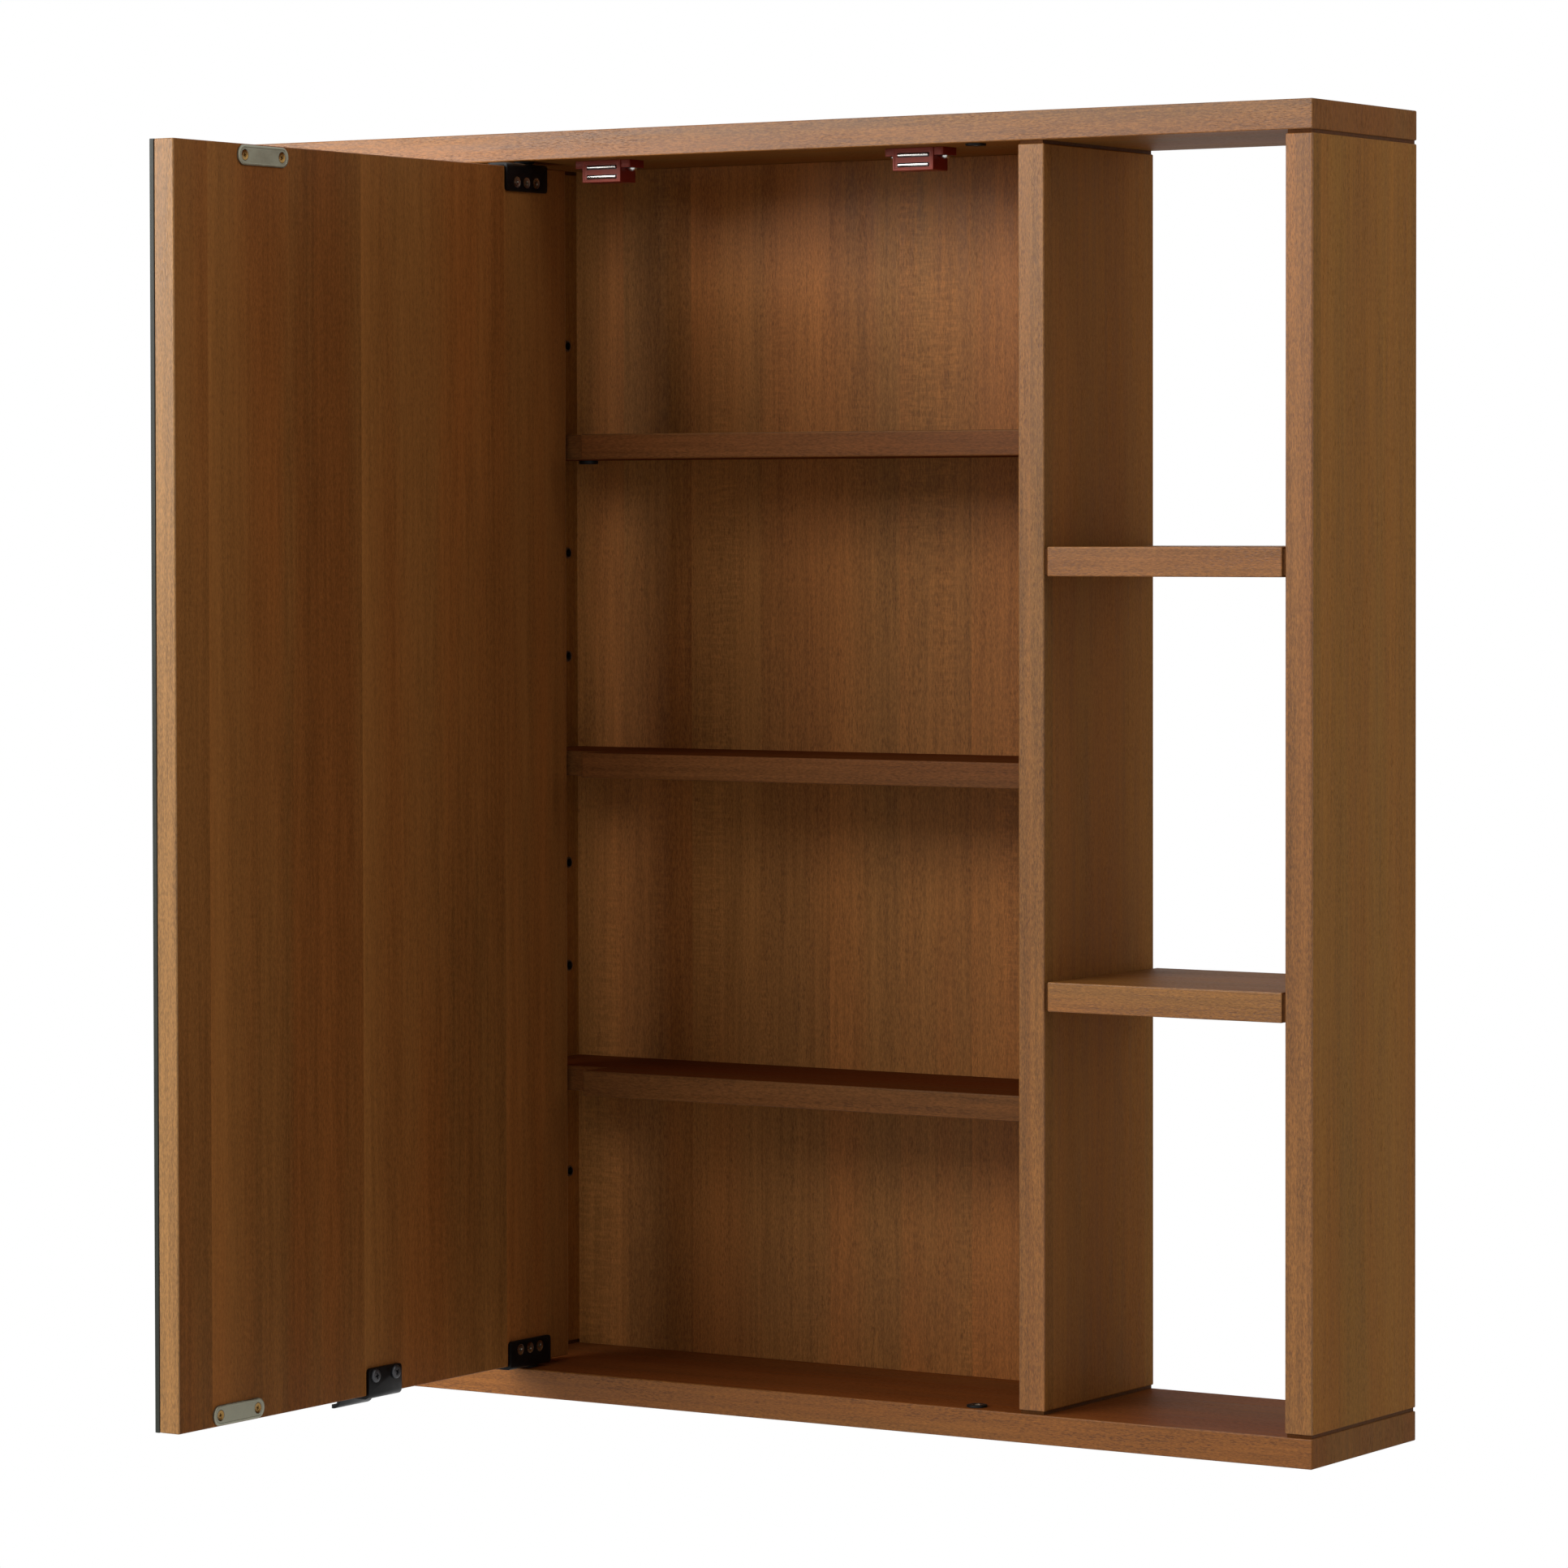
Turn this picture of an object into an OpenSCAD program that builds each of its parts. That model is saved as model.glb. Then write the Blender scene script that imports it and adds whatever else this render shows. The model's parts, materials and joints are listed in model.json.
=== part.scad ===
// Wall-hung medicine cabinet: a mirror door between two open bays of shelves.
// X runs along the wall, Y runs from the room into the wall, and Z is up.
// The origin is the middle of the two wall screw holes, on the face of the wall.

/* [Case] */
// Width over the two outer sides
body_w = 762; // [700:1:1000]
// Height over the top and bottom panels
body_h = 762; // [700:1:1000]
// Depth from the wall to the front edges
body_d = 128; // [120:1:180]
// Thickness of the boards and of the bay shelves
board_t = 17; // [16:0.5:22]
// Clear width of each open bay
bay_w = 155; // [110:1:170]
// Chamfer on the edges of the boards
edge_ease = 0.8; // [0.2:0.1:1.5]
// Length of the shadow reveal at the end of a board
reveal_w = 2; // [1:0.5:4]
// Depth of the shadow reveal at the end of a board
reveal_d = 1; // [0.5:0.25:1.5]

/* [Joinery] */
// Radius of the case dowels
dowel_r = 4; // [3:0.5:4.5]
// Reach of a case dowel into the top or bottom panel
dowel_in_panel = 11; // [8:1:13]
// Reach of a case dowel into a standing board
dowel_in_board = 18; // [14:1:30]
// Radius of the dowels of the bay shelves
shelf_dowel_r = 3; // [2:0.5:4]
// Reach of a bay shelf dowel into a standing board
shelf_dowel_in_board = 7; // [5:0.5:7.5]
// Reach of a bay shelf dowel into its shelf
shelf_dowel_in_shelf = 14; // [10:1:30]
// Distance of the front dowels from the front edge
dowel_front = 30; // [26:1:40]
// Distance of the rear dowels from the rear edge
dowel_back = 48; // [36:1:52]
// Radial clearance of a dowel, bushing, sleeve or screw in its hole
seat_fit = 0.05; // [0.02:0.01:0.1]
// Spare depth at the end of a blind hole
hole_spare = 0.5; // [0.2:0.1:1]

/* [Back] */
// Thickness of the back panel
back_t = 6; // [4:0.5:9]
// Space between the back panel and the wall
back_recess = 9; // [7:0.5:12]
// Depth of the grooves that hold the back panel
groove_d = 4; // [3:0.5:6]
// Clearance of the back panel in its grooves
groove_fit = 0.2; // [0.1:0.05:0.5]

/* [Wall hanging] */
// Height of the bevelled rail in the cabinet, at the wall
rail_h = 43; // [30:1:60]
// Height of the cleat on the wall, at the wall
cleat_h = 44; // [36:1:60]
// Space between each end of the wall cleat and its divider
cleat_end_gap = 12; // [4:1:30]
// Distance of a wall screw hole from its end of the cleat
wall_hole_inset = 30; // [20:1:60]
// Radius of the wall screw holes
wall_hole_r = 2.75; // [2:0.25:3.5]
// Radius of the countersinks of the wall screw holes
wall_sink_r = 5.5; // [4:0.25:7]
// Gap between the wall cleat and the back panel
cleat_gap = 0.3; // [0.1:0.1:0.8]

/* [Centre shelves] */
// Thickness of the three adjustable shelves
shelf_t = 15; // [14:0.5:19]
// Gap between the shut door and the front of a shelf
shelf_front_gap = 2.4; // [2.1:0.1:10]
// Gap between a shelf and the back panel
shelf_back_gap = 0.5; // [0.3:0.1:3]
// Gap between the end of a shelf and its divider
shelf_end_gap = 1; // [0.6:0.1:3]
// Clearance beside the swinging end of the door, in a shelf's cut-out
notch_side_clear = 1; // [0.5:0.5:6]
// Clearance behind the swinging end of the door, in a shelf's cut-out
notch_back_clear = 3; // [1:0.5:6]

/* [Shelf supports] */
// Number of holes in a row of support holes
hole_count = 9; // [7:2:11]
// Distance between the holes of a row
hole_pitch = 64; // [50:1:66]
// Holes from one shelf to the next
shelf_step = 3; // [2:1:3]
// Distance of the front row from the front edge
hole_front = 58; // [54:1:66]
// Distance of the rear row from the rear edge
hole_back = 25; // [23:1:32]
// Radius of a shelf pin
pin_r = 2.5; // [2:0.1:3]
// Distance of the pins below the middle of their shelf
pin_low = 0.5; // [0:0.1:1]
// Reach of a shelf pin into its sleeve
pin_in_sleeve = 7; // [4:0.5:7.5]
// Wall of a sleeve
sleeve_wall = 0.5; // [0.4:0.1:1]
// Length of a sleeve in its board
sleeve_len = 8; // [7.8:0.2:8.8]
// Radius of a sleeve's flange
sleeve_flange_r = 3.5; // [3.4:0.1:4.5]
// Thickness of a sleeve's flange
sleeve_flange_t = 0.4; // [0.2:0.1:0.5]
// Radius of a support housing
housing_r = 6; // [5:0.5:7]
// Distance of a housing's axis from the divider
housing_x = 15.75; // [12:0.25:20]
// Height of a housing
housing_h = 13; // [11.5:0.5:14]
// Reach of a housing below its shelf
housing_proud = 2.2; // [1:0.2:3]
// Radius of a housing's clamping screw
housing_screw_r = 1.9; // [1.2:0.1:2.4]

/* [Door] */
// Thickness of the wooden panel of the door
door_t = 13.6; // [12:0.2:16]
// Thickness of the mirror glass
mirror_t = 3; // [3:0.5:5]
// Thickness of the adhesive behind the mirror
adhesive_t = 0.4; // [0.3:0.1:1]
// Margin of the adhesive inside the edge of the mirror
adhesive_margin = 2; // [1:0.5:30]
// Distance of the mirror behind the front edges of the case
mirror_setback = 1; // [0.5:0.5:2]
// Gap at each upright edge of the door
door_side_gap = 2; // [1.6:0.1:3]
// Gap above and below the door
door_end_gap = 4; // [3.9:0.1:5]
// Angle that the door is drawn open at
door_open = 90; // [0:5:145]

/* [Pivot hinges] */
// Distance of the pivot from the inner face of the divider
pivot_x = 33.4; // [32:0.1:40]
// Distance of the pivot behind the front edges
pivot_depth = 9.3; // [8.5:0.1:11]
// Radius of a pivot pin
pivot_r = 2.5; // [2:0.1:3]
// Radial clearance of a pivot pin in its liner
pivot_fit = 0.05; // [0.02:0.01:0.1]
// Gap between a pivot pin's end and the bottom of its bushing
pivot_end_gap = 0.3; // [0.2:0.1:1]
// Thickness of a hinge bracket
bracket_t = 2; // [1.5:0.1:2.2]
// Length of a hinge bracket along the door
bracket_w = 42; // [40:1:60]
// Height of a bracket's leg, on the inner face of the door
bracket_leg = 17; // [15:0.5:30]
// Depth of a bracket's foot, on the end of the door
bracket_foot = 15; // [14:0.5:16]
// Distance from the pivot to the end of a bracket, away from the screws
bracket_past_pivot = 9.5; // [6:0.5:12]
// Radius of a bracket's corners
bracket_corner = 2.5; // [1:0.5:4]
// Inner radius of a bracket's bend
bend_r = 0.5; // [0.2:0.1:0.8]
// Distance of a bracket's first screw from the pivot, along the door
bracket_screw_x = 1.9; // [1:0.1:3]
// Distance between a bracket's screws
bracket_screw_pitch = 10; // [9:0.5:12]
// Distance of a bracket's screws from the end of the door
bracket_screw_z = 9.5; // [8:0.5:11]
// Radius of a pivot bushing's flange
bushing_flange_r = 6; // [5.2:0.1:6.5]
// Thickness of a pivot bushing's flange
bushing_flange_t = 1.4; // [0.8:0.1:1.6]
// Radius of a pivot bushing's body
bushing_r = 4.6; // [4.2:0.1:5]
// Length of a pivot bushing's body
bushing_len = 11.5; // [10:0.5:13]
// Floor of a pivot bushing
bushing_floor = 1; // [0.8:0.1:1.5]
// Wall of the steel liner of a bushing
liner_wall = 0.9; // [0.5:0.1:1]

/* [Finger pull] */
// Thickness of the pull
pull_t = 2; // [1.5:0.1:2.2]
// Width of the pull
pull_w = 32; // [30:1:50]
// Height of the pull over its leg and its run under the door
pull_leg = 18; // [15:0.5:30]
// Reach of the pull's lip in front of the mirror
pull_reach = 9.4; // [9:0.2:14]
// Drop of the pull's lip
pull_drop = 7; // [6.8:0.2:9]
// Clearance between the pull and the front edge of the bottom panel
pull_clear = 1; // [0.6:0.1:2]
// Distance between the pull's screws
pull_screw_spacing = 19.7; // [14:0.1:22]
// Distance of the pull's screws below the top of its leg
pull_screw_edge = 4.6; // [4.4:0.1:6]

/* [Magnetic catches] */
// Distance of a catch's middle from its divider
catch_x = 82.5; // [70:0.5:110]
// Width of a catch over its ears
catch_w = 40; // [39:0.5:50]
// Thickness of the ears
ear_t = 4.7; // [3:0.1:6]
// Depth of the ears
ear_d = 17; // [14:0.5:20]
// Width of a catch's body
catch_body_w = 27.5; // [25:0.5:28]
// Height of a catch
catch_h = 13.2; // [12.4:0.2:16]
// Depth of a catch's body
catch_body_d = 16.4; // [15:0.2:20]
// Radius of the corners of the ears
ear_corner = 1.5; // [0.5:0.5:3]
// Radius of the corners of a catch's body
catch_corner = 1; // [0.5:0.5:2]
// Gap between a catch and the strike plate of the shut door
catch_gap = 0.4; // [0.3:0.1:1]
// Length of a pole plate along the door
pole_w = 20.6; // [16:0.2:22]
// Depth of a pole plate
pole_d = 13; // [10:0.5:14]
// Thickness of a pole plate
pole_t = 1.4; // [1:0.1:1.6]
// Distance of the upper pole plate's middle below the top panel
pole_top = 4.3; // [4:0.1:5]
// Distance between the pole plates
pole_pitch = 5.7; // [5:0.1:6]
// Depth of the magnet between the pole plates
magnet_d = 10; // [6:0.5:12]
// Space around a pole plate in its slot
pole_gap = 0.45; // [0.3:0.05:0.6]
// Reach of the pole plates in front of the housing
pole_proud = 0.3; // [0.1:0.1:0.5]

/* [Strike plates] */
// Length of a strike plate
strike_w = 46; // [44:1:60]
// Height of a strike plate
strike_h = 11.5; // [10.5:0.5:12]
// Thickness of a strike plate
strike_t = 1.5; // [1:0.1:1.9]
// Distance between a strike plate's screws
strike_spacing = 34; // [30:0.5:35]
// Distance of the upper strike plate's middle from the free edge of the door
strike_top_s = 80; // [40:1:110]
// Distance of the lower strike plate's middle from the free edge of the door
strike_low_s = 53; // [40:1:110]
// Distance of a strike plate's middle from the end of the door
strike_edge = 6.4; // [6.2:0.1:9]

/* [Screws] */
// Radius of the screw heads of the hinge brackets
hinge_head_r = 3.3; // [3:0.1:3.5]
// Radius of the screw heads of the finger pull
pull_head_r = 4; // [3:0.1:4.2]
// Radius of the screw heads of the strike plates
strike_head_r = 2.9; // [2.6:0.1:3.2]
// Radius of the screw heads of the catches
catch_head_r = 2.9; // [2.4:0.1:3]
// Height of a raised screw head
head_t = 1.6; // [1.2:0.1:2]
// Radius of the screw shanks
shank_r = 1.5; // [1:0.1:1.7]
// Reach of a screw into the door
door_screw_in = 10; // [6:0.5:10.5]
// Reach of a screw into the top panel
panel_screw_in = 10; // [6:0.5:12]
// Depth of the cross in a screw head
cross_d = 1; // [0.6:0.1:1.1]

/* [Hidden] */

$fn = 48;
cut = 1; // overshoot of a cutting shape past the face it opens

wood = "#8a5a33";
wood_dark = "#6b4427";
wood_pale = "#b08a5c";
black = "#1c1c1e";
steel = "#b9bcbd";
brass = "#b48a3c";
catch_brown = "#6e2f28";

// Across the cabinet, from its middle to the right
centre_w = body_w - 4 * board_t - 2 * bay_w;
divider_in = centre_w / 2;
divider_out = divider_in + board_t;
side_in = divider_out + bay_w;

// Up the cabinet, from its underside
floor_z = board_t;
ceiling_z = body_h - board_t;
inner_h = ceiling_z - floor_z;
bay_gap = (inner_h - 2 * board_t) / 3;
bay_shelf_z = [floor_z + bay_gap, floor_z + 2 * bay_gap + board_t];
bevel_z = ceiling_z - rail_h;
wall_hole_z = bevel_z - cleat_h / 2;
cleat_w = centre_w - 2 * cleat_end_gap;
wall_hole_x = cleat_w / 2 - wall_hole_inset;

// Through the cabinet: a depth is counted from the front edges
function at_depth(d) = d - body_d;
dowel_rear = body_d - dowel_back;
hole_rear = body_d - hole_back;
back_y = -back_recess - back_t;
tongue = groove_d - groove_fit;
cleat_t = back_recess - cleat_gap;

// The rows of support holes, and the holes that carry the shelves
hole_mid = (hole_count - 1) / 2;
function hole_z(i) = body_h / 2 + (i - hole_mid) * hole_pitch;
shelf_hole = [hole_mid - shelf_step, hole_mid, hole_mid + shelf_step];
shelf_below_pin = shelf_t / 2 - pin_low;
sleeve_bore_r = pin_r + seat_fit;
sleeve_r = sleeve_bore_r + sleeve_wall;

// The shut door
door_w = centre_w - 2 * door_side_gap;
door_h = inner_h - 2 * door_end_gap;
door_z = [floor_z + door_end_gap, ceiling_z - door_end_gap];
mirror_y = at_depth(mirror_setback);
adhesive_y = mirror_y + mirror_t;
door_y = adhesive_y + adhesive_t;
door_in_y = door_y + door_t;
free_edge_x = door_w / 2;

// The pivot, and the circle that the door's hinged end sweeps
pivot_pos_x = -divider_in + pivot_x;
pivot_y = at_depth(pivot_depth);
swing_r = norm([pivot_x - door_side_gap, max(pivot_y - mirror_y, door_in_y - pivot_y)]);
bushing_bore_d = bushing_len - bushing_floor;
pivot_len = door_end_gap + bushing_bore_d - pivot_end_gap;
liner_bore_r = pivot_r + pivot_fit;
liner_r = liner_bore_r + liner_wall;

shelf_front_y = door_in_y + shelf_front_gap;
notch_x = pivot_pos_x + swing_r + notch_side_clear;
notch_y = pivot_y + swing_r + notch_back_clear;

bracket_screws = [for (i = [0:2]) bracket_screw_x + i * bracket_screw_pitch];
bracket_mid_x = bracket_w / 2 - bracket_past_pivot;
pull_floor = -pull_t; // underside of the pull's run, from the end of the door
pull_out_y = mirror_y - pull_reach;
pull_step_y = at_depth(-pull_clear);
catch_y = door_in_y + strike_t + catch_gap;
catch_screw_x = (catch_w + catch_body_w) / 4;
strike_x = [free_edge_x - strike_low_s, free_edge_x - strike_top_s];
head_cross_w = 0.26; // width of a screw's cross, as a share of its head's radius

// All is drawn from the cabinet's underside, and then set on the wall screw holes
module hung() translate([0, 0, -wall_hole_z]) children();

// The door's pieces are drawn shut, and turned open about the pivot
module on_door()
    hung() translate([pivot_pos_x, pivot_y, 0]) rotate([0, 0, -door_open])
        translate([-pivot_pos_x, -pivot_y, 0]) children();

module both_sides() {
    children();
    mirror([1, 0, 0]) children();
}

// The child once at the floor and once upside down at the ceiling
module floor_and_ceiling() {
    translate([0, 0, floor_z]) children();
    translate([0, 0, ceiling_z]) mirror([0, 0, 1]) children();
}

// The same at the lower and the upper end of the shut door
module door_end(top) translate([0, 0, door_z[top]]) mirror([0, 0, top]) children();

module eased_rect(w, h)
    polygon([
        [edge_ease, 0], [w - edge_ease, 0], [w, edge_ease], [w, h - edge_ease],
        [w - edge_ease, h], [edge_ease, h], [0, h - edge_ease], [0, edge_ease]
    ]);

// A block with every edge chamfered
module eased_block(w, d, h)
    intersection() {
        linear_extrude(h) eased_rect(w, d);
        translate([0, d, 0]) rotate([90, 0, 0]) linear_extrude(d) eased_rect(w, h);
        rotate([90, 0, 90]) linear_extrude(w) eased_rect(d, h);
    }

module round_rect(w, h, r) {
    square([w - 2 * r, h], center = true);
    square([w, h - 2 * r], center = true);
    for (x = [-1, 1], y = [-1, 1]) translate([x * (w / 2 - r), y * (h / 2 - r)]) circle(r);
}

module stadium(w, h) {
    square([w - h, h], center = true);
    for (x = [-1, 1]) translate([x * (w - h) / 2, 0]) circle(h / 2);
}

// A plate with round corners at its far end only
module tongue_plate(w, h, r) {
    translate([-w / 2, 0]) square([w, h - r]);
    translate([-w / 2 + r, 0]) square([w - 2 * r, h]);
    for (x = [-1, 1]) translate([x * (w / 2 - r), h - r]) circle(r);
}

// The quarter of a bent plate, curving from along +X to along +Y
module bend(r, t)
    intersection() {
        difference() {
            circle(r + t);
            circle(r);
        }
        square(r + t);
    }

// Draws an outline of depth and height, and gives it the width w along X
module along_x(w) translate([-w / 2, 0, 0]) rotate([90, 0, 90]) linear_extrude(w) children();

module head_cross(head_r)
    for (a = [0, 90]) rotate([0, 0, a])
        translate([-head_r * 0.6, -head_r * head_cross_w / 2, -cross_d])
            cube([head_r * 1.2, head_r * head_cross_w, cross_d + cut]);

module shank(len, grow) {
    translate([0, 0, -len]) cylinder(h = len, r = shank_r + grow);
    translate([0, 0, -len - shank_r]) cylinder(h = shank_r, r1 = 0.3 + grow, r2 = shank_r + grow);
}

// A countersunk screw with its flat head at the origin and its point below; grown, it is its own hole
module flat_screw(head_r, len, grow = 0)
    difference() {
        union() {
            translate([0, 0, shank_r - head_r])
                cylinder(h = head_r - shank_r, r1 = shank_r + grow, r2 = head_r + grow);
            shank(len, grow);
            if (grow > 0) cylinder(h = cut, r = head_r + grow);
        }
        if (grow == 0) head_cross(head_r);
    }

// A screw with a raised head that sits on the origin's plane
module raised_screw(head_r, len)
    difference() {
        union() {
            cylinder(h = head_t * 0.45, r = head_r);
            translate([0, 0, head_t * 0.45]) cylinder(h = head_t * 0.55, r1 = head_r, r2 = head_r * 0.62);
            shank(len, 0);
        }
        translate([0, 0, head_t]) head_cross(head_r * 0.85);
    }

module shank_hole(len) {
    shank(len, seat_fit);
    cylinder(h = cut, r = shank_r + seat_fit);
}

// ---- Case boards ----

// Blind holes for a pair of case dowels, cut into what lies above the origin's plane
module case_dowel_holes(reach)
    for (d = [dowel_front, dowel_rear])
        translate([0, at_depth(d), -cut]) cylinder(h = cut + reach + hole_spare, r = dowel_r + seat_fit);

// A board that stands between the panels, with a reveal at each end
module standing_board(x)
    difference() {
        union() {
            translate([x, -body_d, floor_z + reveal_w])
                eased_block(board_t, body_d, inner_h - 2 * reveal_w);
            translate([x + reveal_d, -body_d + reveal_d, floor_z])
                cube([board_t - 2 * reveal_d, body_d - 2 * reveal_d, inner_h]);
        }
        floor_and_ceiling() translate([x + board_t / 2, 0, 0]) case_dowel_holes(dowel_in_board);
    }

module bay_dowel_holes(reach)
    for (d = [dowel_front, dowel_rear]) translate([-cut, at_depth(d), board_t / 2]) rotate([0, 90, 0])
        cylinder(h = cut + reach + hole_spare, r = shelf_dowel_r + seat_fit);

module side_board()
    difference() {
        standing_board(side_in);
        for (z = bay_shelf_z) translate([side_in, 0, z]) bay_dowel_holes(shelf_dowel_in_board);
    }

// The groove of the back panel, all the way round the centre bay
module back_groove()
    translate([-divider_in - groove_d, back_y, floor_z - groove_d])
        cube([centre_w + 2 * groove_d, back_t + groove_fit, inner_h + 2 * groove_d]);

// The child at every support hole of the right divider, with +Z into the board
module hole_places()
    for (i = [0:hole_count - 1], d = [hole_front, hole_rear])
        translate([divider_in, at_depth(d), hole_z(i)]) rotate([0, 90, 0]) children();

module divider_board()
    difference() {
        standing_board(divider_in);
        for (z = bay_shelf_z) translate([divider_out, 0, z]) mirror([1, 0, 0])
            bay_dowel_holes(shelf_dowel_in_board);
        back_groove();
        hole_places() translate([0, 0, -cut]) cylinder(h = cut + sleeve_len, r = sleeve_r + seat_fit);
    }

module left_side() color(wood) hung() mirror([1, 0, 0]) side_board();
module right_side() color(wood) hung() side_board();
module left_divider() color(wood) hung() mirror([1, 0, 0]) divider_board();
module right_divider() color(wood) hung() divider_board();

// A panel below the origin's plane, with the holes that both panels share
module end_panel()
    difference() {
        translate([-body_w / 2, -body_d, -board_t]) eased_block(body_w, body_d, board_t);
        both_sides() {
            for (x = [divider_in, side_in]) translate([x + board_t / 2, 0, 0]) mirror([0, 0, 1])
                case_dowel_holes(dowel_in_panel);
            translate([pivot_pos_x, pivot_y, -bushing_len])
                cylinder(h = bushing_len + cut, r = bushing_r + seat_fit);
        }
        translate([-divider_in - groove_d, back_y, -groove_d])
            cube([centre_w + 2 * groove_d, back_t + groove_fit, groove_d + cut]);
    }

module top_panel()
    color(wood) hung() difference() {
        translate([0, 0, ceiling_z]) mirror([0, 0, 1]) end_panel();
        both_sides() catch_place() catch_screw_places() shank_hole(panel_screw_in + ear_t);
    }

module bottom_panel() color(wood) hung() translate([0, 0, floor_z]) end_panel();

module back_panel()
    color(wood_dark) hung()
        translate([-divider_in - tongue, back_y, floor_z - tongue])
            cube([centre_w + 2 * tongue, back_t, inner_h + 2 * tongue]);

// ---- Wall hanging: the rail's lower edge rests on the cleat's upper edge ----

module hanging_rail()
    color(wood_pale) hung() along_x(centre_w)
        polygon([
            [0, bevel_z], [0, ceiling_z], [-back_recess, ceiling_z], [-back_recess, bevel_z + back_recess]
        ]);

module wall_cleat()
    color(wood_pale) hung() difference() {
        along_x(cleat_w)
            polygon([
                [0, bevel_z], [0, bevel_z - cleat_h], [-cleat_t, bevel_z - cleat_h],
                [-cleat_t, bevel_z + cleat_t]
            ]);
        both_sides() translate([wall_hole_x, cut, wall_hole_z]) rotate([90, 0, 0]) {
            cylinder(h = cleat_t + 2 * cut, r = wall_hole_r);
            translate([0, 0, cut + cleat_t - (wall_sink_r - wall_hole_r)])
                cylinder(h = wall_sink_r - wall_hole_r + cut, r1 = wall_hole_r, r2 = wall_sink_r + cut);
        }
    }

// ---- Shelves of the open bays ----

module bay_shelf(i)
    translate([divider_out, 0, bay_shelf_z[i]]) difference() {
        translate([0, -body_d, 0]) {
            translate([reveal_w, 0, 0]) eased_block(bay_w - 2 * reveal_w, body_d, board_t);
            translate([0, reveal_d, reveal_d]) cube([bay_w, body_d - 2 * reveal_d, board_t - 2 * reveal_d]);
        }
        bay_dowel_holes(shelf_dowel_in_shelf);
        translate([bay_w, 0, 0]) mirror([1, 0, 0]) bay_dowel_holes(shelf_dowel_in_shelf);
    }

module right_upper_shelf() color(wood) hung() bay_shelf(1);
module right_lower_shelf() color(wood) hung() bay_shelf(0);
module left_upper_shelf() color(wood) hung() mirror([1, 0, 0]) bay_shelf(1);
module left_lower_shelf() color(wood) hung() mirror([1, 0, 0]) bay_shelf(0);

module case_dowels()
    color(wood_pale) hung() both_sides() floor_and_ceiling()
        for (x = [divider_in, side_in], d = [dowel_front, dowel_rear])
            translate([x + board_t / 2, at_depth(d), -dowel_in_panel])
                cylinder(h = dowel_in_panel + dowel_in_board, r = dowel_r);

module bay_shelf_dowels()
    color(wood_pale) hung() both_sides()
        for (z = bay_shelf_z, d = [dowel_front, dowel_rear], outer = [0, 1])
            translate([outer ? side_in : divider_out, at_depth(d), z + board_t / 2]) mirror([outer, 0, 0])
                rotate([0, 90, 0]) translate([0, 0, -shelf_dowel_in_board])
                    cylinder(h = shelf_dowel_in_board + shelf_dowel_in_shelf, r = shelf_dowel_r);

// ---- Centre shelves and their concealed supports ----

module pin_sleeves()
    color(steel) hung() both_sides() hole_places() difference() {
        union() {
            cylinder(h = sleeve_len, r = sleeve_r);
            translate([0, 0, -sleeve_flange_t]) cylinder(h = sleeve_flange_t, r = sleeve_flange_r);
        }
        translate([0, 0, -cut]) cylinder(h = sleeve_len + 2 * cut, r = sleeve_bore_r);
    }

// The child at each support of shelf i, with +X from the divider into the shelf
module support_places(i)
    both_sides() for (d = [hole_front, hole_rear])
        translate([-divider_in, at_depth(d), hole_z(shelf_hole[i])]) children();

module all_supports() for (i = [0:2]) support_places(i) children();

module shelf_pin(grow)
    translate([-pin_in_sleeve, 0, 0]) rotate([0, 90, 0])
        cylinder(h = pin_in_sleeve + housing_x, r = pin_r + grow);

module housing(grow)
    translate([housing_x, 0, -shelf_below_pin - housing_proud])
        cylinder(h = housing_h + grow, r = housing_r + grow);

module centre_shelf(i)
    color(wood) hung() difference() {
        translate([-divider_in + shelf_end_gap, shelf_front_y, hole_z(shelf_hole[i]) - shelf_below_pin])
            eased_block(centre_w - 2 * shelf_end_gap, back_y - shelf_back_gap - shelf_front_y, shelf_t);
        translate([-divider_in, shelf_front_y - cut, hole_z(shelf_hole[i]) - shelf_t])
            cube([notch_x + divider_in, notch_y - shelf_front_y + cut, 2 * shelf_t]);
        support_places(i) {
            shelf_pin(seat_fit);
            housing(seat_fit);
        }
    }

module centre_lower_shelf() centre_shelf(0);
module centre_middle_shelf() centre_shelf(1);
module centre_upper_shelf() centre_shelf(2);

module shelf_pins() color(steel) hung() all_supports() shelf_pin(0);

housing_screw_len = housing_proud + shelf_below_pin - pin_r - seat_fit;
module shelf_housings()
    color(black) hung() all_supports() difference() {
        housing(0);
        shelf_pin(seat_fit);
        translate([housing_x, 0, -shelf_below_pin - housing_proud - cut])
            cylinder(h = cut + housing_screw_len + pin_r, r = housing_screw_r + seat_fit);
    }

module housing_screws()
    color(steel) hung() all_supports()
        translate([housing_x, 0, -shelf_below_pin - housing_proud]) mirror([0, 0, 1]) difference() {
            translate([0, 0, -housing_screw_len]) cylinder(h = housing_screw_len, r = housing_screw_r);
            head_cross(housing_screw_r);
        }

// ---- Pivot bushings, one at each end of both dividers, so that the door hangs on either side ----

module pivot_places() both_sides() floor_and_ceiling() translate([pivot_pos_x, pivot_y, 0]) children();

module pivot_bushings()
    color(black) hung() pivot_places() difference() {
        union() {
            translate([0, 0, -bushing_len]) cylinder(h = bushing_len, r = bushing_r);
            cylinder(h = bushing_flange_t, r = bushing_flange_r);
        }
        translate([0, 0, -bushing_bore_d])
            cylinder(h = bushing_bore_d + bushing_flange_t + cut, r = liner_r + seat_fit);
    }

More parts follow.
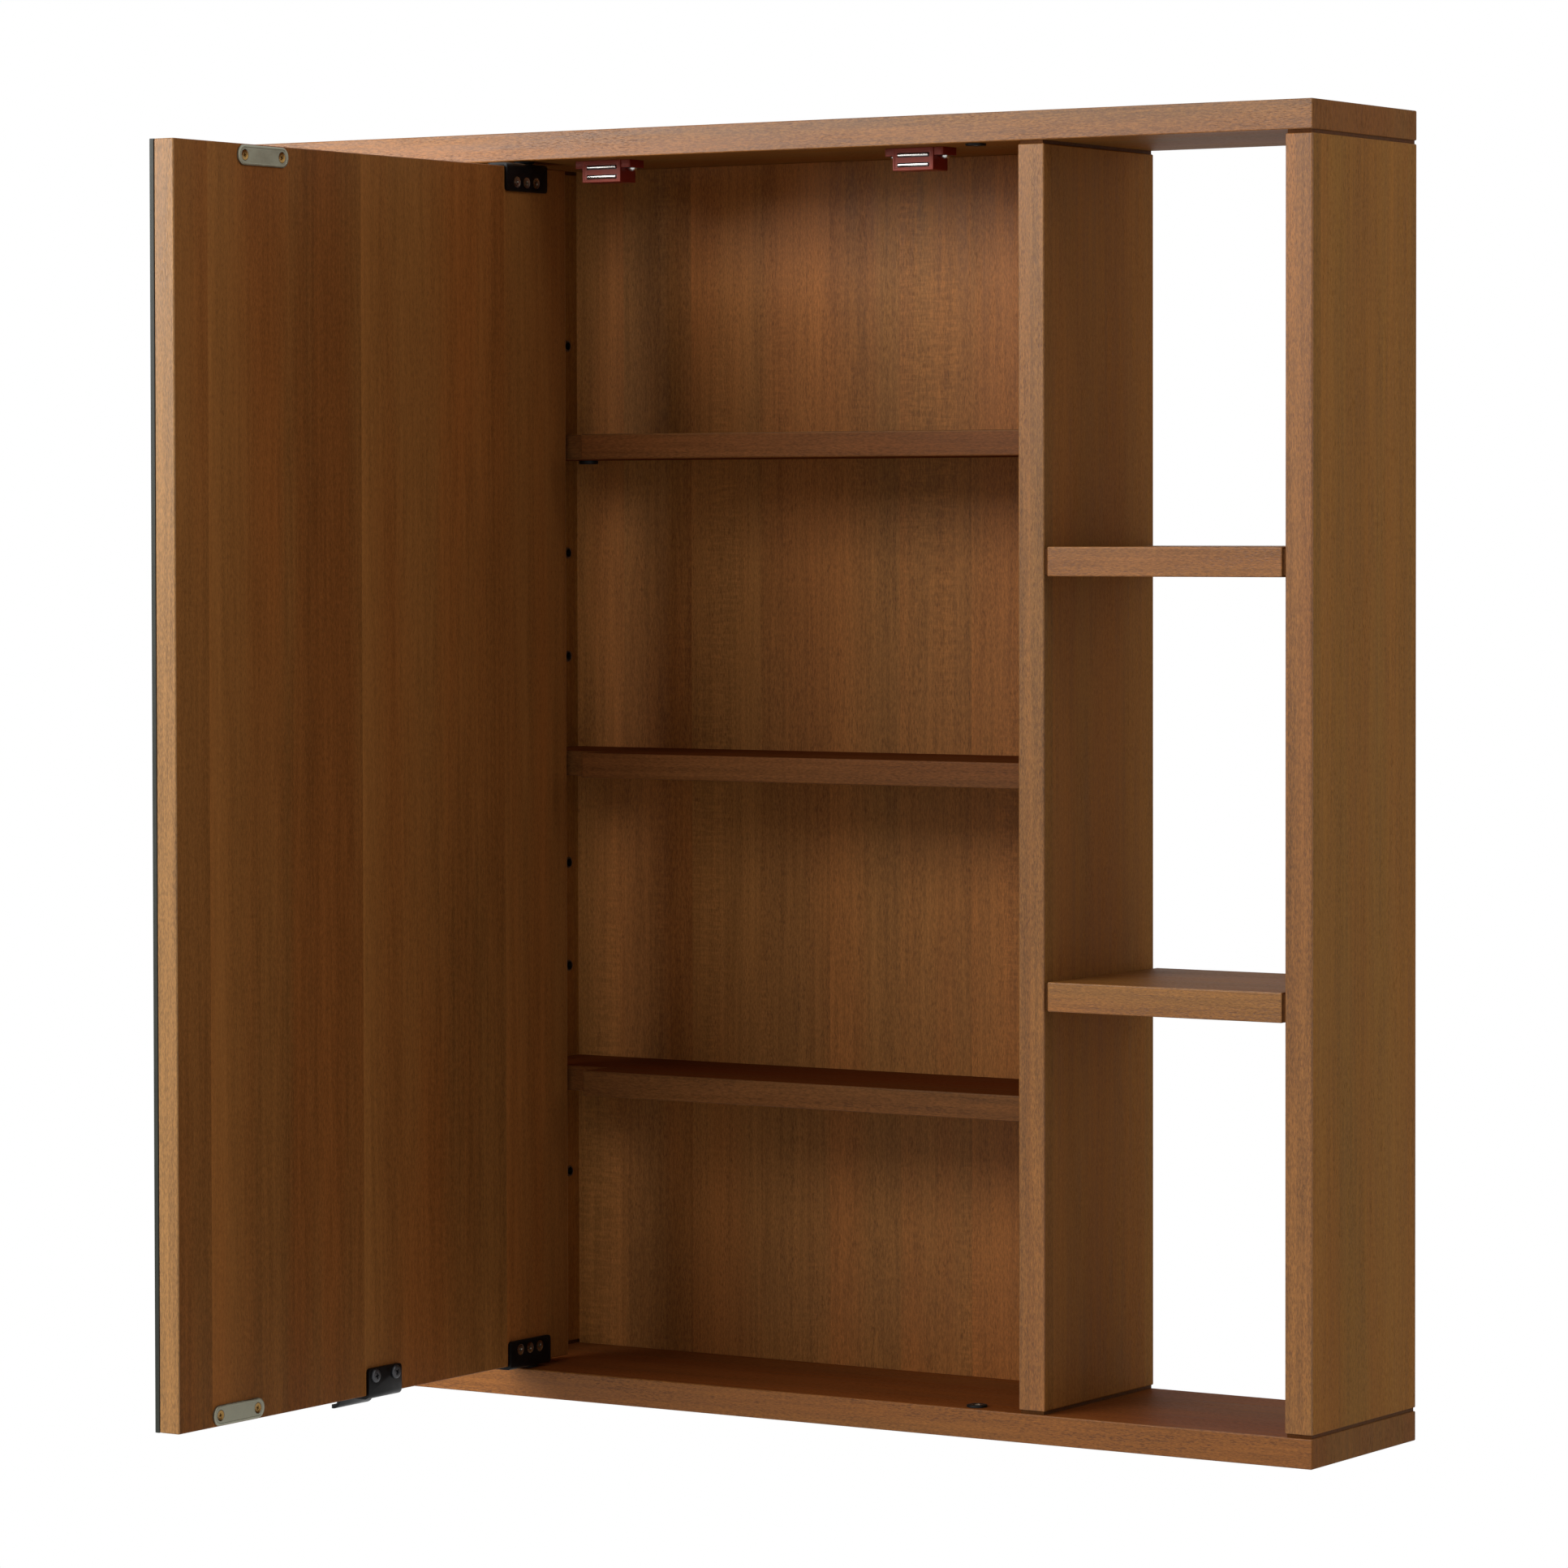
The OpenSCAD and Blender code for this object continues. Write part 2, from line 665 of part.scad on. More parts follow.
module pivot_liners()
    color(steel) hung() pivot_places() translate([0, 0, -bushing_bore_d]) difference() {
        cylinder(h = bushing_bore_d + bushing_flange_t, r = liner_r);
        translate([0, 0, -cut]) cylinder(h = bushing_bore_d + bushing_flange_t + 2 * cut, r = liner_bore_r);
    }

// ---- Magnetic catches: the origin is at the front of the poles, under the top panel ----

module catch_place() translate([divider_in - catch_x, catch_y, ceiling_z]) children();

module catch_screw_places()
    for (x = [-1, 1]) translate([x * catch_screw_x, pole_proud + ear_d / 2, -ear_t]) mirror([0, 0, 1])
        children();

module pole_slots(grow)
    for (i = [0, 1])
        translate([-pole_w / 2 - grow, -cut * sign(grow), -pole_top - i * pole_pitch - pole_t / 2 - grow])
            cube([pole_w + 2 * grow, pole_d + grow + cut * sign(grow), pole_t + 2 * grow]);

module magnet(grow)
    translate([-pole_w / 2 - grow, (pole_d - magnet_d) / 2 - grow, -pole_top - pole_pitch + pole_t / 2])
        cube([pole_w + 2 * grow, magnet_d + 2 * grow, pole_pitch - pole_t]);

module catch_housing()
    difference() {
        union() {
            translate([0, pole_proud + ear_d / 2, -ear_t]) linear_extrude(ear_t)
                round_rect(catch_w, ear_d, ear_corner);
            translate([0, pole_proud, -catch_h / 2]) rotate([-90, 0, 0]) linear_extrude(catch_body_d)
                round_rect(catch_body_w, catch_h, catch_corner);
        }
        pole_slots(pole_gap);
        magnet(seat_fit);
        catch_screw_places() translate([0, 0, -ear_t - cut])
            cylinder(h = ear_t + 2 * cut, r = shank_r + seat_fit);
    }

module right_catch_housing() color(catch_brown) hung() catch_place() catch_housing();
module left_catch_housing() color(catch_brown) hung() mirror([1, 0, 0]) catch_place() catch_housing();
module catch_magnets() color(black) hung() both_sides() catch_place() magnet(0);
module catch_poles() color(steel) hung() both_sides() catch_place() pole_slots(0);
module catch_screws()
    color(steel) hung() both_sides() catch_place() catch_screw_places()
        raised_screw(catch_head_r, panel_screw_in + ear_t);

// ---- Door: the screws' places have +Z out of the door's inner face ----

module on_inner_face(x, z, lift) translate([x, door_in_y + lift, z]) rotate([-90, 0, 0]) children();

module hinge_screw_places(top)
    door_end(top) for (x = bracket_screws)
        on_inner_face(pivot_pos_x + x, bracket_screw_z, bracket_t) children();

module pull_screw_places(lift)
    door_end(0) for (x = [-1, 1])
        on_inner_face(x * pull_screw_spacing / 2, pull_floor + pull_leg - pull_screw_edge, lift) children();

module strike_screw_places(top)
    door_end(top) for (x = [-1, 1])
        on_inner_face(strike_x[top] + x * strike_spacing / 2, strike_edge, strike_t) children();

module hinge_screw(grow) flat_screw(hinge_head_r, bracket_t + door_screw_in, grow);
module strike_screw(grow) flat_screw(strike_head_r, strike_t + door_screw_in, grow);

module door_panel()
    color(wood) on_door() difference() {
        translate([-door_w / 2, door_y, door_z[0]]) eased_block(door_w, door_t, door_h);
        for (top = [0, 1]) {
            hinge_screw_places(top) hinge_screw(seat_fit);
            strike_screw_places(top) strike_screw(seat_fit);
        }
        pull_screw_places(0) shank_hole(door_screw_in);
    }

module pane(margin, y, t)
    translate([margin - door_w / 2, y, door_z[0] + margin])
        cube([door_w - 2 * margin, t, door_h - 2 * margin]);

module mirror_glass() color("silver") on_door() pane(0, mirror_y, mirror_t);
module mirror_adhesive() color("dimgray") on_door() pane(adhesive_margin, adhesive_y, adhesive_t);

// A plate bent over the end of the door, with its leg up the inner face and its foot below z = 0
module bent_plate(w, leg, foot, t)
    translate([0, door_in_y, 0]) along_x(w) {
        translate([0, bend_r]) square([t, leg - t - bend_r]);
        translate([-foot + t, -t]) square([foot - t - bend_r, t]);
        translate([-bend_r, bend_r]) mirror([0, 1]) bend(bend_r, t);
    }

module hinge_bracket(top)
    color(black) on_door() difference() {
        door_end(top) translate([pivot_pos_x + bracket_mid_x, 0, 0]) intersection() {
            bent_plate(bracket_w, bracket_leg, bracket_foot, bracket_t);
            translate([0, door_in_y + bracket_t, -bracket_t]) rotate([90, 0, 0])
                linear_extrude(bracket_foot) tongue_plate(bracket_w, bracket_leg, bracket_corner);
            translate([0, door_in_y + bracket_t, -bracket_t]) mirror([0, 1, 0])
                linear_extrude(bracket_leg) tongue_plate(bracket_w, bracket_foot, bracket_corner);
        }
        hinge_screw_places(top) hinge_screw(seat_fit);
        door_end(top) translate([pivot_pos_x, pivot_y, -bracket_t - cut])
            cylinder(h = bracket_t + 2 * cut, r = pivot_r + seat_fit);
    }

module top_hinge_bracket() hinge_bracket(1);
module bottom_hinge_bracket() hinge_bracket(0);

module pivot_pins()
    color(steel) on_door() for (top = [0, 1])
        door_end(top) translate([pivot_pos_x, pivot_y, -pivot_len]) cylinder(h = pivot_len, r = pivot_r);

module hinge_screws()
    color(steel) on_door() for (top = [0, 1]) hinge_screw_places(top) hinge_screw(0);

// The pull runs from the inner face under the door, past the mirror, and steps down in front of the case
module pull_profile() {
    r = bend_r;
    in_y = door_in_y + pull_t;
    lip_top = pull_floor - pull_drop + pull_t;
    translate([door_in_y, r]) square([pull_t, pull_leg - pull_t - r]);
    translate([door_in_y - r, r]) mirror([0, 1]) bend(r, pull_t);
    translate([pull_step_y + r, pull_floor]) square([door_in_y - pull_step_y - 2 * r, pull_t]);
    translate([pull_step_y + r, pull_floor - r]) mirror([1, 0]) bend(r, pull_t);
    translate([pull_step_y - pull_t, lip_top + r]) square([pull_t, pull_floor - lip_top - 2 * r]);
    translate([pull_step_y - pull_t - r, lip_top + r]) mirror([0, 1]) bend(r, pull_t);
    translate([pull_out_y, lip_top - pull_t]) square([pull_step_y - pull_t - r - pull_out_y, pull_t]);
}

module finger_pull()
    color(black) on_door() difference() {
        door_end(0) intersection() {
            along_x(pull_w) pull_profile();
            translate([0, door_in_y + pull_t, pull_floor - pull_drop]) rotate([90, 0, 0])
                linear_extrude(2 * body_d) tongue_plate(pull_w, pull_leg + pull_drop, bracket_corner);
            translate([0, door_in_y + pull_t, pull_floor - pull_drop]) mirror([0, 1, 0])
                linear_extrude(pull_leg + pull_drop)
                    tongue_plate(pull_w, door_in_y + pull_t - pull_out_y, bracket_corner);
        }
        pull_screw_places(pull_t) translate([0, 0, -pull_t - cut])
            cylinder(h = pull_t + 2 * cut, r = shank_r + seat_fit);
    }

module pull_screws()
    color(black) on_door() pull_screw_places(pull_t) raised_screw(pull_head_r, pull_t + door_screw_in);

module strike_plate(top)
    color(steel) on_door() difference() {
        door_end(top) on_inner_face(strike_x[top], strike_edge, 0) linear_extrude(strike_t)
            stadium(strike_w, strike_h);
        strike_screw_places(top) strike_screw(seat_fit);
    }

module top_strike_plate() strike_plate(1);
module bottom_strike_plate() strike_plate(0);
module strike_screws() color(brass) on_door() for (top = [0, 1]) strike_screw_places(top) strike_screw(0);

top_panel();
bottom_panel();
left_side();
right_side();
left_divider();
right_divider();
back_panel();
hanging_rail();
wall_cleat();
left_upper_shelf();
left_lower_shelf();
right_upper_shelf();
right_lower_shelf();
centre_upper_shelf();
centre_middle_shelf();
centre_lower_shelf();
case_dowels();
bay_shelf_dowels();
pin_sleeves();
shelf_pins();
shelf_housings();
housing_screws();
pivot_bushings();
pivot_liners();
left_catch_housing();
right_catch_housing();
catch_magnets();
catch_poles();
catch_screws();
door_panel();
mirror_glass();
mirror_adhesive();
top_hinge_bracket();
bottom_hinge_bracket();
pivot_pins();
hinge_screws();
finger_pull();
pull_screws();
top_strike_plate();
bottom_strike_plate();
strike_screws();
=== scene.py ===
import json
import math

import bpy
from mathutils import Matrix, Vector


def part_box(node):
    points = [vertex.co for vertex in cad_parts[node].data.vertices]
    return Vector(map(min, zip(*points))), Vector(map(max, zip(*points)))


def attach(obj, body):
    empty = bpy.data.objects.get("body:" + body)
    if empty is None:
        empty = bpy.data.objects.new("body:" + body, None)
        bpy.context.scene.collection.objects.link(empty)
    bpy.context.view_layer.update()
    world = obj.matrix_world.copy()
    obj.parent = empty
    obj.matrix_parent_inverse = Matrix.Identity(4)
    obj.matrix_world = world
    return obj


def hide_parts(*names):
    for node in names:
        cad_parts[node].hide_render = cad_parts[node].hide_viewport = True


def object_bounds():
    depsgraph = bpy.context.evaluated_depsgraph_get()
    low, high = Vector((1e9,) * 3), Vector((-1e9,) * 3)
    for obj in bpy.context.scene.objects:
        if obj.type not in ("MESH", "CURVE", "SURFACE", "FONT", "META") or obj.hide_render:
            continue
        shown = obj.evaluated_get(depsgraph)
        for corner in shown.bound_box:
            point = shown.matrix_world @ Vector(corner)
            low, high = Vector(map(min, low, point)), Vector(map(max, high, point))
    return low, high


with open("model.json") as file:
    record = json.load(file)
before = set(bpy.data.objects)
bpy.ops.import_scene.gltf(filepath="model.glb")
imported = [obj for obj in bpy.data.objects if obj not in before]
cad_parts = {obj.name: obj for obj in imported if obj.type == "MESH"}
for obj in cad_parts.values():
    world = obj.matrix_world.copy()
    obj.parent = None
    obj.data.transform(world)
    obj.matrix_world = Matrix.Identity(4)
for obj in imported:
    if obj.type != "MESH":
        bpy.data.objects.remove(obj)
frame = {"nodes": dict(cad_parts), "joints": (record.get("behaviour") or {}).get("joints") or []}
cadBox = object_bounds()
print("cabinet frame loaded,", len(frame["nodes"]), "parts")

mm = 0.001
near = 0.01 * mm  # closer places are the same
past = 1 * mm  # a cutter's reach past the face it cuts
axial = 0.99  # a direction this near an axis is along it
turnTo = {"x": (0, math.pi / 2, 0), "z": (0, 0, 0)}
boardSmooth, hardwareSmooth = 34, 40  # edges under these angles are shaded round


# modelling helpers

def deselect():
    bpy.ops.object.select_all(action="DESELECT")


def choose(piece):
    deselect()
    piece.select_set(True)
    bpy.context.view_layer.objects.active = piece


def settle(piece):  # puts a piece's place, turn and scale into its mesh
    choose(piece)
    bpy.ops.object.transform_apply(location=True, rotation=True, scale=True)
    return piece


def named(piece, name):
    piece.name = piece.data.name = name
    return piece


def addBlock(name, low, high):
    deselect()
    bpy.ops.mesh.primitive_cube_add(size=1, location=(Vector(low) + Vector(high)) / 2)
    block = named(bpy.context.object, name)
    block.scale = Vector(high) - Vector(low)
    return settle(block)


def addRod(name, start, radius, length, axis, sides, endRadius=None):  # a rod or cone along an axis
    middle = Vector(start)
    middle["xyz".index(axis)] += length / 2
    first, last = radius, radius if endRadius is None else endRadius
    if length < 0:
        first, last = last, first
    deselect()
    bpy.ops.mesh.primitive_cone_add(vertices=sides, radius1=first, radius2=last, depth=abs(length),
                                    location=middle, rotation=turnTo[axis])
    return settle(named(bpy.context.object, name))


def editAll(piece):
    choose(piece)
    bpy.ops.object.mode_set(mode="EDIT")
    bpy.ops.mesh.select_all(action="SELECT")


def pick(piece, kind, test):  # leaves what passes the test selected, in edit mode
    choose(piece)
    bpy.ops.object.mode_set(mode="EDIT")
    bpy.ops.mesh.select_mode(type=kind)
    bpy.ops.mesh.select_all(action="DESELECT")
    bpy.ops.object.mode_set(mode="OBJECT")
    mesh = piece.data
    if kind == "FACE":
        for face in mesh.polygons:
            face.select = test(face.center, face.normal)
    elif kind == "EDGE":
        for edge in mesh.edges:
            first, last = (mesh.vertices[i].co for i in edge.vertices)
            edge.select = test((first + last) / 2, (last - first).normalized())
    else:
        for point in mesh.vertices:
            point.select = test(point.co)
    bpy.ops.object.mode_set(mode="EDIT")


def backToObject():
    bpy.ops.object.mode_set(mode="OBJECT")


def same(first, second):
    return abs(first - second) < near


def alongAxis(index, length):
    return [length if i == index else 0 for i in range(3)]


def extrude(move):
    bpy.ops.mesh.extrude_region_move(TRANSFORM_OT_translate={"value": move})


def hollowFace(piece, test, rim, slope, depth):  # sinks a face inside a rim
    pick(piece, "FACE", test)
    bpy.ops.mesh.inset(thickness=rim)
    bpy.ops.mesh.inset(thickness=slope, depth=-depth)
    backToObject()


def roundEdges(piece, test, width, steps=3):
    pick(piece, "EDGE", test)
    bpy.ops.mesh.bevel(offset=width, segments=steps, affect="EDGES")
    backToObject()


def roundAlong(piece, axis, at, width, steps=6):  # edges along one axis, at given places on the others
    index = "xyz".index(axis)
    roundEdges(piece, lambda middle, along: abs(along[index]) > axial and all(
        same(getattr(middle, key), value) for key, value in at.items()), width, steps)


def applyModifier(piece, kind, **settings):
    choose(piece)
    bpy.ops.object.modifier_add(type=kind)
    modifier = piece.modifiers[-1]
    for key, value in settings.items():
        setattr(modifier, key, value)
    bpy.ops.object.modifier_apply(modifier=modifier.name)


def easeEdges(piece, width, steps=2, angle=50):
    applyModifier(piece, "BEVEL", width=width, segments=steps, limit_method="ANGLE",
                  angle_limit=math.radians(angle))


def smoothed(piece, angle=hardwareSmooth):
    choose(piece)
    bpy.ops.object.shade_smooth_by_angle(angle=math.radians(angle))
    return piece


def smoothedFlat(piece):  # broad faces stay flat up to their rounded edges
    smoothed(piece, boardSmooth)
    applyModifier(piece, "WEIGHTED_NORMAL", keep_sharp=True, weight=100)
    return piece


def joined(pieces, name):
    choose(pieces[0])
    for piece in pieces[1:]:
        piece.select_set(True)
    if len(pieces) > 1:
        bpy.ops.object.join()
    return named(bpy.context.object, name)


def carve(piece, cutters):
    cutter = joined(cutters, "cutter")
    applyModifier(piece, "BOOLEAN", operation="DIFFERENCE", solver="EXACT", object=cutter)
    bpy.data.objects.remove(cutter)


def copied(piece, place):  # with its own mesh, moved, turned or mirrored
    twin = piece.copy()
    twin.data = piece.data.copy()
    bpy.context.scene.collection.objects.link(twin)
    twin.data.transform(place)
    if place.determinant() < 0:
        editAll(twin)
        bpy.ops.mesh.flip_normals()
        backToObject()
    return twin


def paint(piece, *materials):
    piece.data.materials.clear()
    for material in materials:
        piece.data.materials.append(material)


def paintFaces(piece, slotIndex, test):
    for face in piece.data.polygons:
        if test(face.center, face.normal):
            face.material_index = slotIndex


def fit(piece, body, slotName, *nodes):
    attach(piece, body)
    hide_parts(*nodes)


def fitSet(pieces, name, material, body, slotName, node, angle=hardwareSmooth):  # many small pieces as one
    whole = smoothed(joined(pieces, name), angle)
    paint(whole, material)
    fit(whole, body, slotName, node)


# material helpers

def addNode(tree, kind, inputs=None, **settings):
    node = tree.nodes.new(kind)
    for key, value in settings.items():
        setattr(node, key, value)
    for key, value in (inputs or {}).items():
        if isinstance(value, bpy.types.NodeSocket):
            tree.links.new(value, node.inputs[key])
        else:
            node.inputs[key].default_value = value
    return node


def calc(tree, operation, first, second=0.0, third=0.0):
    return addNode(tree, "ShaderNodeMath", {0: first, 1: second, 2: third}, operation=operation).outputs[0]


def remap(tree, value, fromLow, fromHigh, toLow=0.0, toHigh=1.0):
    return addNode(tree, "ShaderNodeMapRange", {0: value, 1: fromLow, 2: fromHigh, 3: toLow, 4: toHigh},
                   interpolation_type="SMOOTHSTEP").outputs[0]


def mixColour(tree, factor, first, second):
    return addNode(tree, "ShaderNodeMix", {0: factor, 6: first, 7: second}, data_type="RGBA").outputs[2]


def stretched(tree, vector, scale):
    return addNode(tree, "ShaderNodeVectorMath", {0: vector, 1: scale}, operation="MULTIPLY").outputs[0]


def scaled(tree, vector, factor):
    return addNode(tree, "ShaderNodeVectorMath", {0: vector, "Scale": factor}, operation="SCALE").outputs[0]


def noise(tree, vector, scale, detail=2.0, roughness=0.5, distortion=0.0):
    return addNode(tree, "ShaderNodeTexNoise", {"Vector": stretched(tree, vector, scale), "Scale": 1.0,
                   "Detail": detail, "Roughness": roughness, "Distortion": distortion}).outputs["Fac"]


def newGroup(name, inputs):  # every group takes a vector and puts out a colour, a roughness and a height
    group = bpy.data.node_groups.new(name, "ShaderNodeTree")
    group.interface.new_socket("Vector", in_out="INPUT", socket_type="NodeSocketVector")
    for label in inputs.values():
        kind = "Color" if label.endswith("Colour") else "Float"
        group.interface.new_socket(label, in_out="INPUT", socket_type="NodeSocket" + kind)
    for label, kind in (("Colour", "Color"), ("Roughness", "Float"), ("Height", "Float")):
        group.interface.new_socket(label, in_out="OUTPUT", socket_type="NodeSocket" + kind)
    return group, group.nodes.new("NodeGroupInput").outputs, group.nodes.new("NodeGroupOutput").inputs


def newMaterial(name, **settings):
    material = bpy.data.materials.new(name)
    material.use_nodes = True
    tree = material.node_tree
    shader = tree.nodes["Principled BSDF"]
    for key, value in settings.items():
        shader.inputs[key].default_value = value
    return material, tree, shader


def asColour(red, green, blue):  # 0-255 as seen on a screen, to a linear colour
    return tuple(((c / 255 + 0.055) / 1.055) ** 2.4 if c > 10 else c / 255 / 12.92
                 for c in (red, green, blue)) + (1.0,)


def makeFinish(name, group, inputs, finish):  # turn and shift place a pattern that has a direction
    material, tree, shader = newMaterial(name, **{"Metallic": finish["metal"],
                                                  "Specular IOR Level": finish["shine"]})
    place = addNode(tree, "ShaderNodeTexCoord").outputs["Object"]
    if "turn" in finish:
        place = addNode(tree, "ShaderNodeMapping", {"Vector": place, "Location": finish["shift"],
                        "Rotation": [math.radians(angle) for angle in finish["turn"]]}).outputs[0]
    coat = addNode(tree, "ShaderNodeGroup", node_tree=group)
    tree.links.new(place, coat.inputs["Vector"])
    for key, label in inputs.items():
        value = finish[key]
        coat.inputs[label].default_value = asColour(*value) if label.endswith("Colour") else value
    tree.links.new(coat.outputs["Colour"], shader.inputs["Base Color"])
    tree.links.new(coat.outputs["Roughness"], shader.inputs["Roughness"])
    if finish["bump"]:
        relief = addNode(tree, "ShaderNodeBump", {"Strength": finish["bump"], "Distance": finish["bumpDepth"],
                         "Height": coat.outputs["Height"]})
        tree.links.new(relief.outputs[0], shader.inputs["Normal"])
    return material


# the stained veneer, in leaves side by side

veneerInputs = {
    "leaf": "Leaf Width", "leafContrast": "Leaf Contrast", "slope": "Leaf Slope", "bands": "Band Contrast",
    "fibres": "Fibre Strength", "pores": "Pore Strength", "poreSize": "Pore Size",
    "ribbon": "Ribbon Strength", "rough": "Mean Roughness", "warm": "Warm Colour", "olive": "Olive Colour",
    "pore": "Pore Colour",
}
veneerNoise = {  # scales per metre: across the leaf, through it and along the grain
    "hue": {"scale": (21, 21, 1.3), "distortion": 0.3},
    "clouds": {"scale": (13, 13, 0.9), "distortion": 0.3},
    "bands": {"scale": (62, 62, 0.8), "distortion": 0.1},
    "streaks": {"scale": (380, 380, 11), "detail": 3.0, "roughness": 0.6},
    "specks": {"scale": (1500, 1500, 380), "roughness": 0.65},
    "poreField": {"scale": (120, 120, 12)},
    "ribbon": {"scale": (90, 90, 520), "detail": 1.0, "distortion": 0.3},
    "ribbonField": {"scale": (24, 24, 2.6), "detail": 1.0},
}
poreNoise = {"scale": (1600, 1600, 300), "detail": 1.0}
veneerRange = {
    "hue": (0.34, 0.66), "clouds": (0.32, 0.68), "bands": (0.34, 0.66), "streaks": (0.3, 0.7),
    "specks": (0.3, 0.7), "pores": (0.53, 0.66), "poreField": (0.38, 0.62), "ribbon": (0.42, 0.66),
    "ribbonField": (0.52, 0.66), "gloss": (0.25, 0.75),
}
veneerMix = {
    "slip": 3.0, "bands": 0.4, "streaks": 0.6, "fadePower": 5.0, "seamPower": 40.0, "seam": 0.8,
    "sparsePores": 0.3, "poreGloss": 0.12, "gloss": 0.05, "poreHeight": -0.8, "speckHeight": 0.5,
    "ribbon": (-0.3, 0.7),
}


def makeVeneerGroup():
    tree, inputs, outputs = newGroup("stainedVeneer", veneerInputs)
    mix = veneerMix
    across = addNode(tree, "ShaderNodeSeparateXYZ", {0: inputs["Vector"]}).outputs[0]
    leafPlace = calc(tree, "DIVIDE", across, inputs["Leaf Width"])
    leafCell = calc(tree, "FLOOR", leafPlace)
    leafPart = calc(tree, "FRACT", leafPlace)
    leafRandom = addNode(tree, "ShaderNodeTexWhiteNoise", {"W": leafCell}, noise_dimensions="1D").outputs
    slip = stretched(tree, leafRandom["Color"], (mix["slip"], mix["slip"], mix["slip"]))
    leaf = addNode(tree, "ShaderNodeVectorMath", {0: inputs["Vector"], 1: slip}, operation="ADD").outputs[0]
    fields = {key: noise(tree, leaf, **values) for key, values in veneerNoise.items()}
    poreVector = scaled(tree, leaf, calc(tree, "DIVIDE", 1.0, inputs["Pore Size"]))
    fields["pores"] = noise(tree, poreVector, **poreNoise)

    def spread(key, low=-0.5, high=0.5):
        return remap(tree, fields[key], *veneerRange[key], low, high)

    colour = mixColour(tree, spread("hue", 0, 1), inputs["Olive Colour"], inputs["Warm Colour"])
    broadTone = calc(tree, "MULTIPLY_ADD", spread("bands"), mix["bands"], spread("clouds"))
    tone = calc(tree, "MULTIPLY_ADD", broadTone, inputs["Band Contrast"], 1.0)
    leafTone = calc(tree, "SUBTRACT", leafRandom["Value"], 0.5)
    tone = calc(tree, "MULTIPLY_ADD", leafTone, inputs["Leaf Contrast"], tone)
    fade = calc(tree, "POWER", leafPart, mix["fadePower"])  # each leaf lightens towards its seam
    slope = calc(tree, "MULTIPLY_ADD", calc(tree, "POWER", leafPart, mix["seamPower"]), mix["seam"], fade)
    tone = calc(tree, "MULTIPLY_ADD", slope, inputs["Leaf Slope"], tone)
    fineTone = calc(tree, "MULTIPLY_ADD", spread("streaks"), mix["streaks"], spread("specks"))
    tone = calc(tree, "MULTIPLY_ADD", fineTone, inputs["Fibre Strength"], tone)
    ribbon = calc(tree, "MULTIPLY", spread("ribbon", *mix["ribbon"]), spread("ribbonField", 0, 1))
    tone = calc(tree, "MULTIPLY_ADD", ribbon, inputs["Ribbon Strength"], tone)

    pores = calc(tree, "MULTIPLY", spread("pores", 0, 1), spread("poreField", mix["sparsePores"], 1))
    poreMask = calc(tree, "MULTIPLY", pores, inputs["Pore Strength"])
    finished = mixColour(tree, poreMask, scaled(tree, colour, tone), inputs["Pore Colour"])
    tree.links.new(finished, outputs["Colour"])
    streakGloss = remap(tree, fields["streaks"], *veneerRange["gloss"], -mix["gloss"], mix["gloss"])
    gloss = calc(tree, "MULTIPLY_ADD", pores, mix["poreGloss"], streakGloss)
    tree.links.new(calc(tree, "ADD", inputs["Mean Roughness"], gloss), outputs["Roughness"])
    speckHeight = calc(tree, "MULTIPLY", fields["specks"], mix["speckHeight"])
    tree.links.new(calc(tree, "MULTIPLY_ADD", pores, mix["poreHeight"], speckHeight), outputs["Height"])
    return tree


# turn brings the grain onto the group's Z and the leaves' width onto its X
woodCommon = {
    "turn": (0, 0, 0), "leaf": 0.3, "leafContrast": 0.0, "slope": 0.0, "bands": 0.3, "fibres": 0.3,
    "pores": 0.3, "poreSize": 1.0, "ribbon": 0.0, "rough": 0.5, "metal": 0.0, "shine": 0.03, "bump": 0.35,
    "bumpDepth": 0.12 * mm,
}
levelFigure = {
    "turn": (0, 90, 0), "shift": (0.2, 0.1, 0.0), "leaf": 0.14, "leafContrast": 0.06, "slope": 0.03,
    "bands": 0.2, "ribbon": 0.03,
}
edgeFigure = {
    "warm": (165, 105, 50), "olive": (160, 109, 54), "pore": (104, 62, 33), "fibres": 0.5, "pores": 0.6,
    "poreSize": 0.95, "rough": 0.33, "shine": 0.4,
}
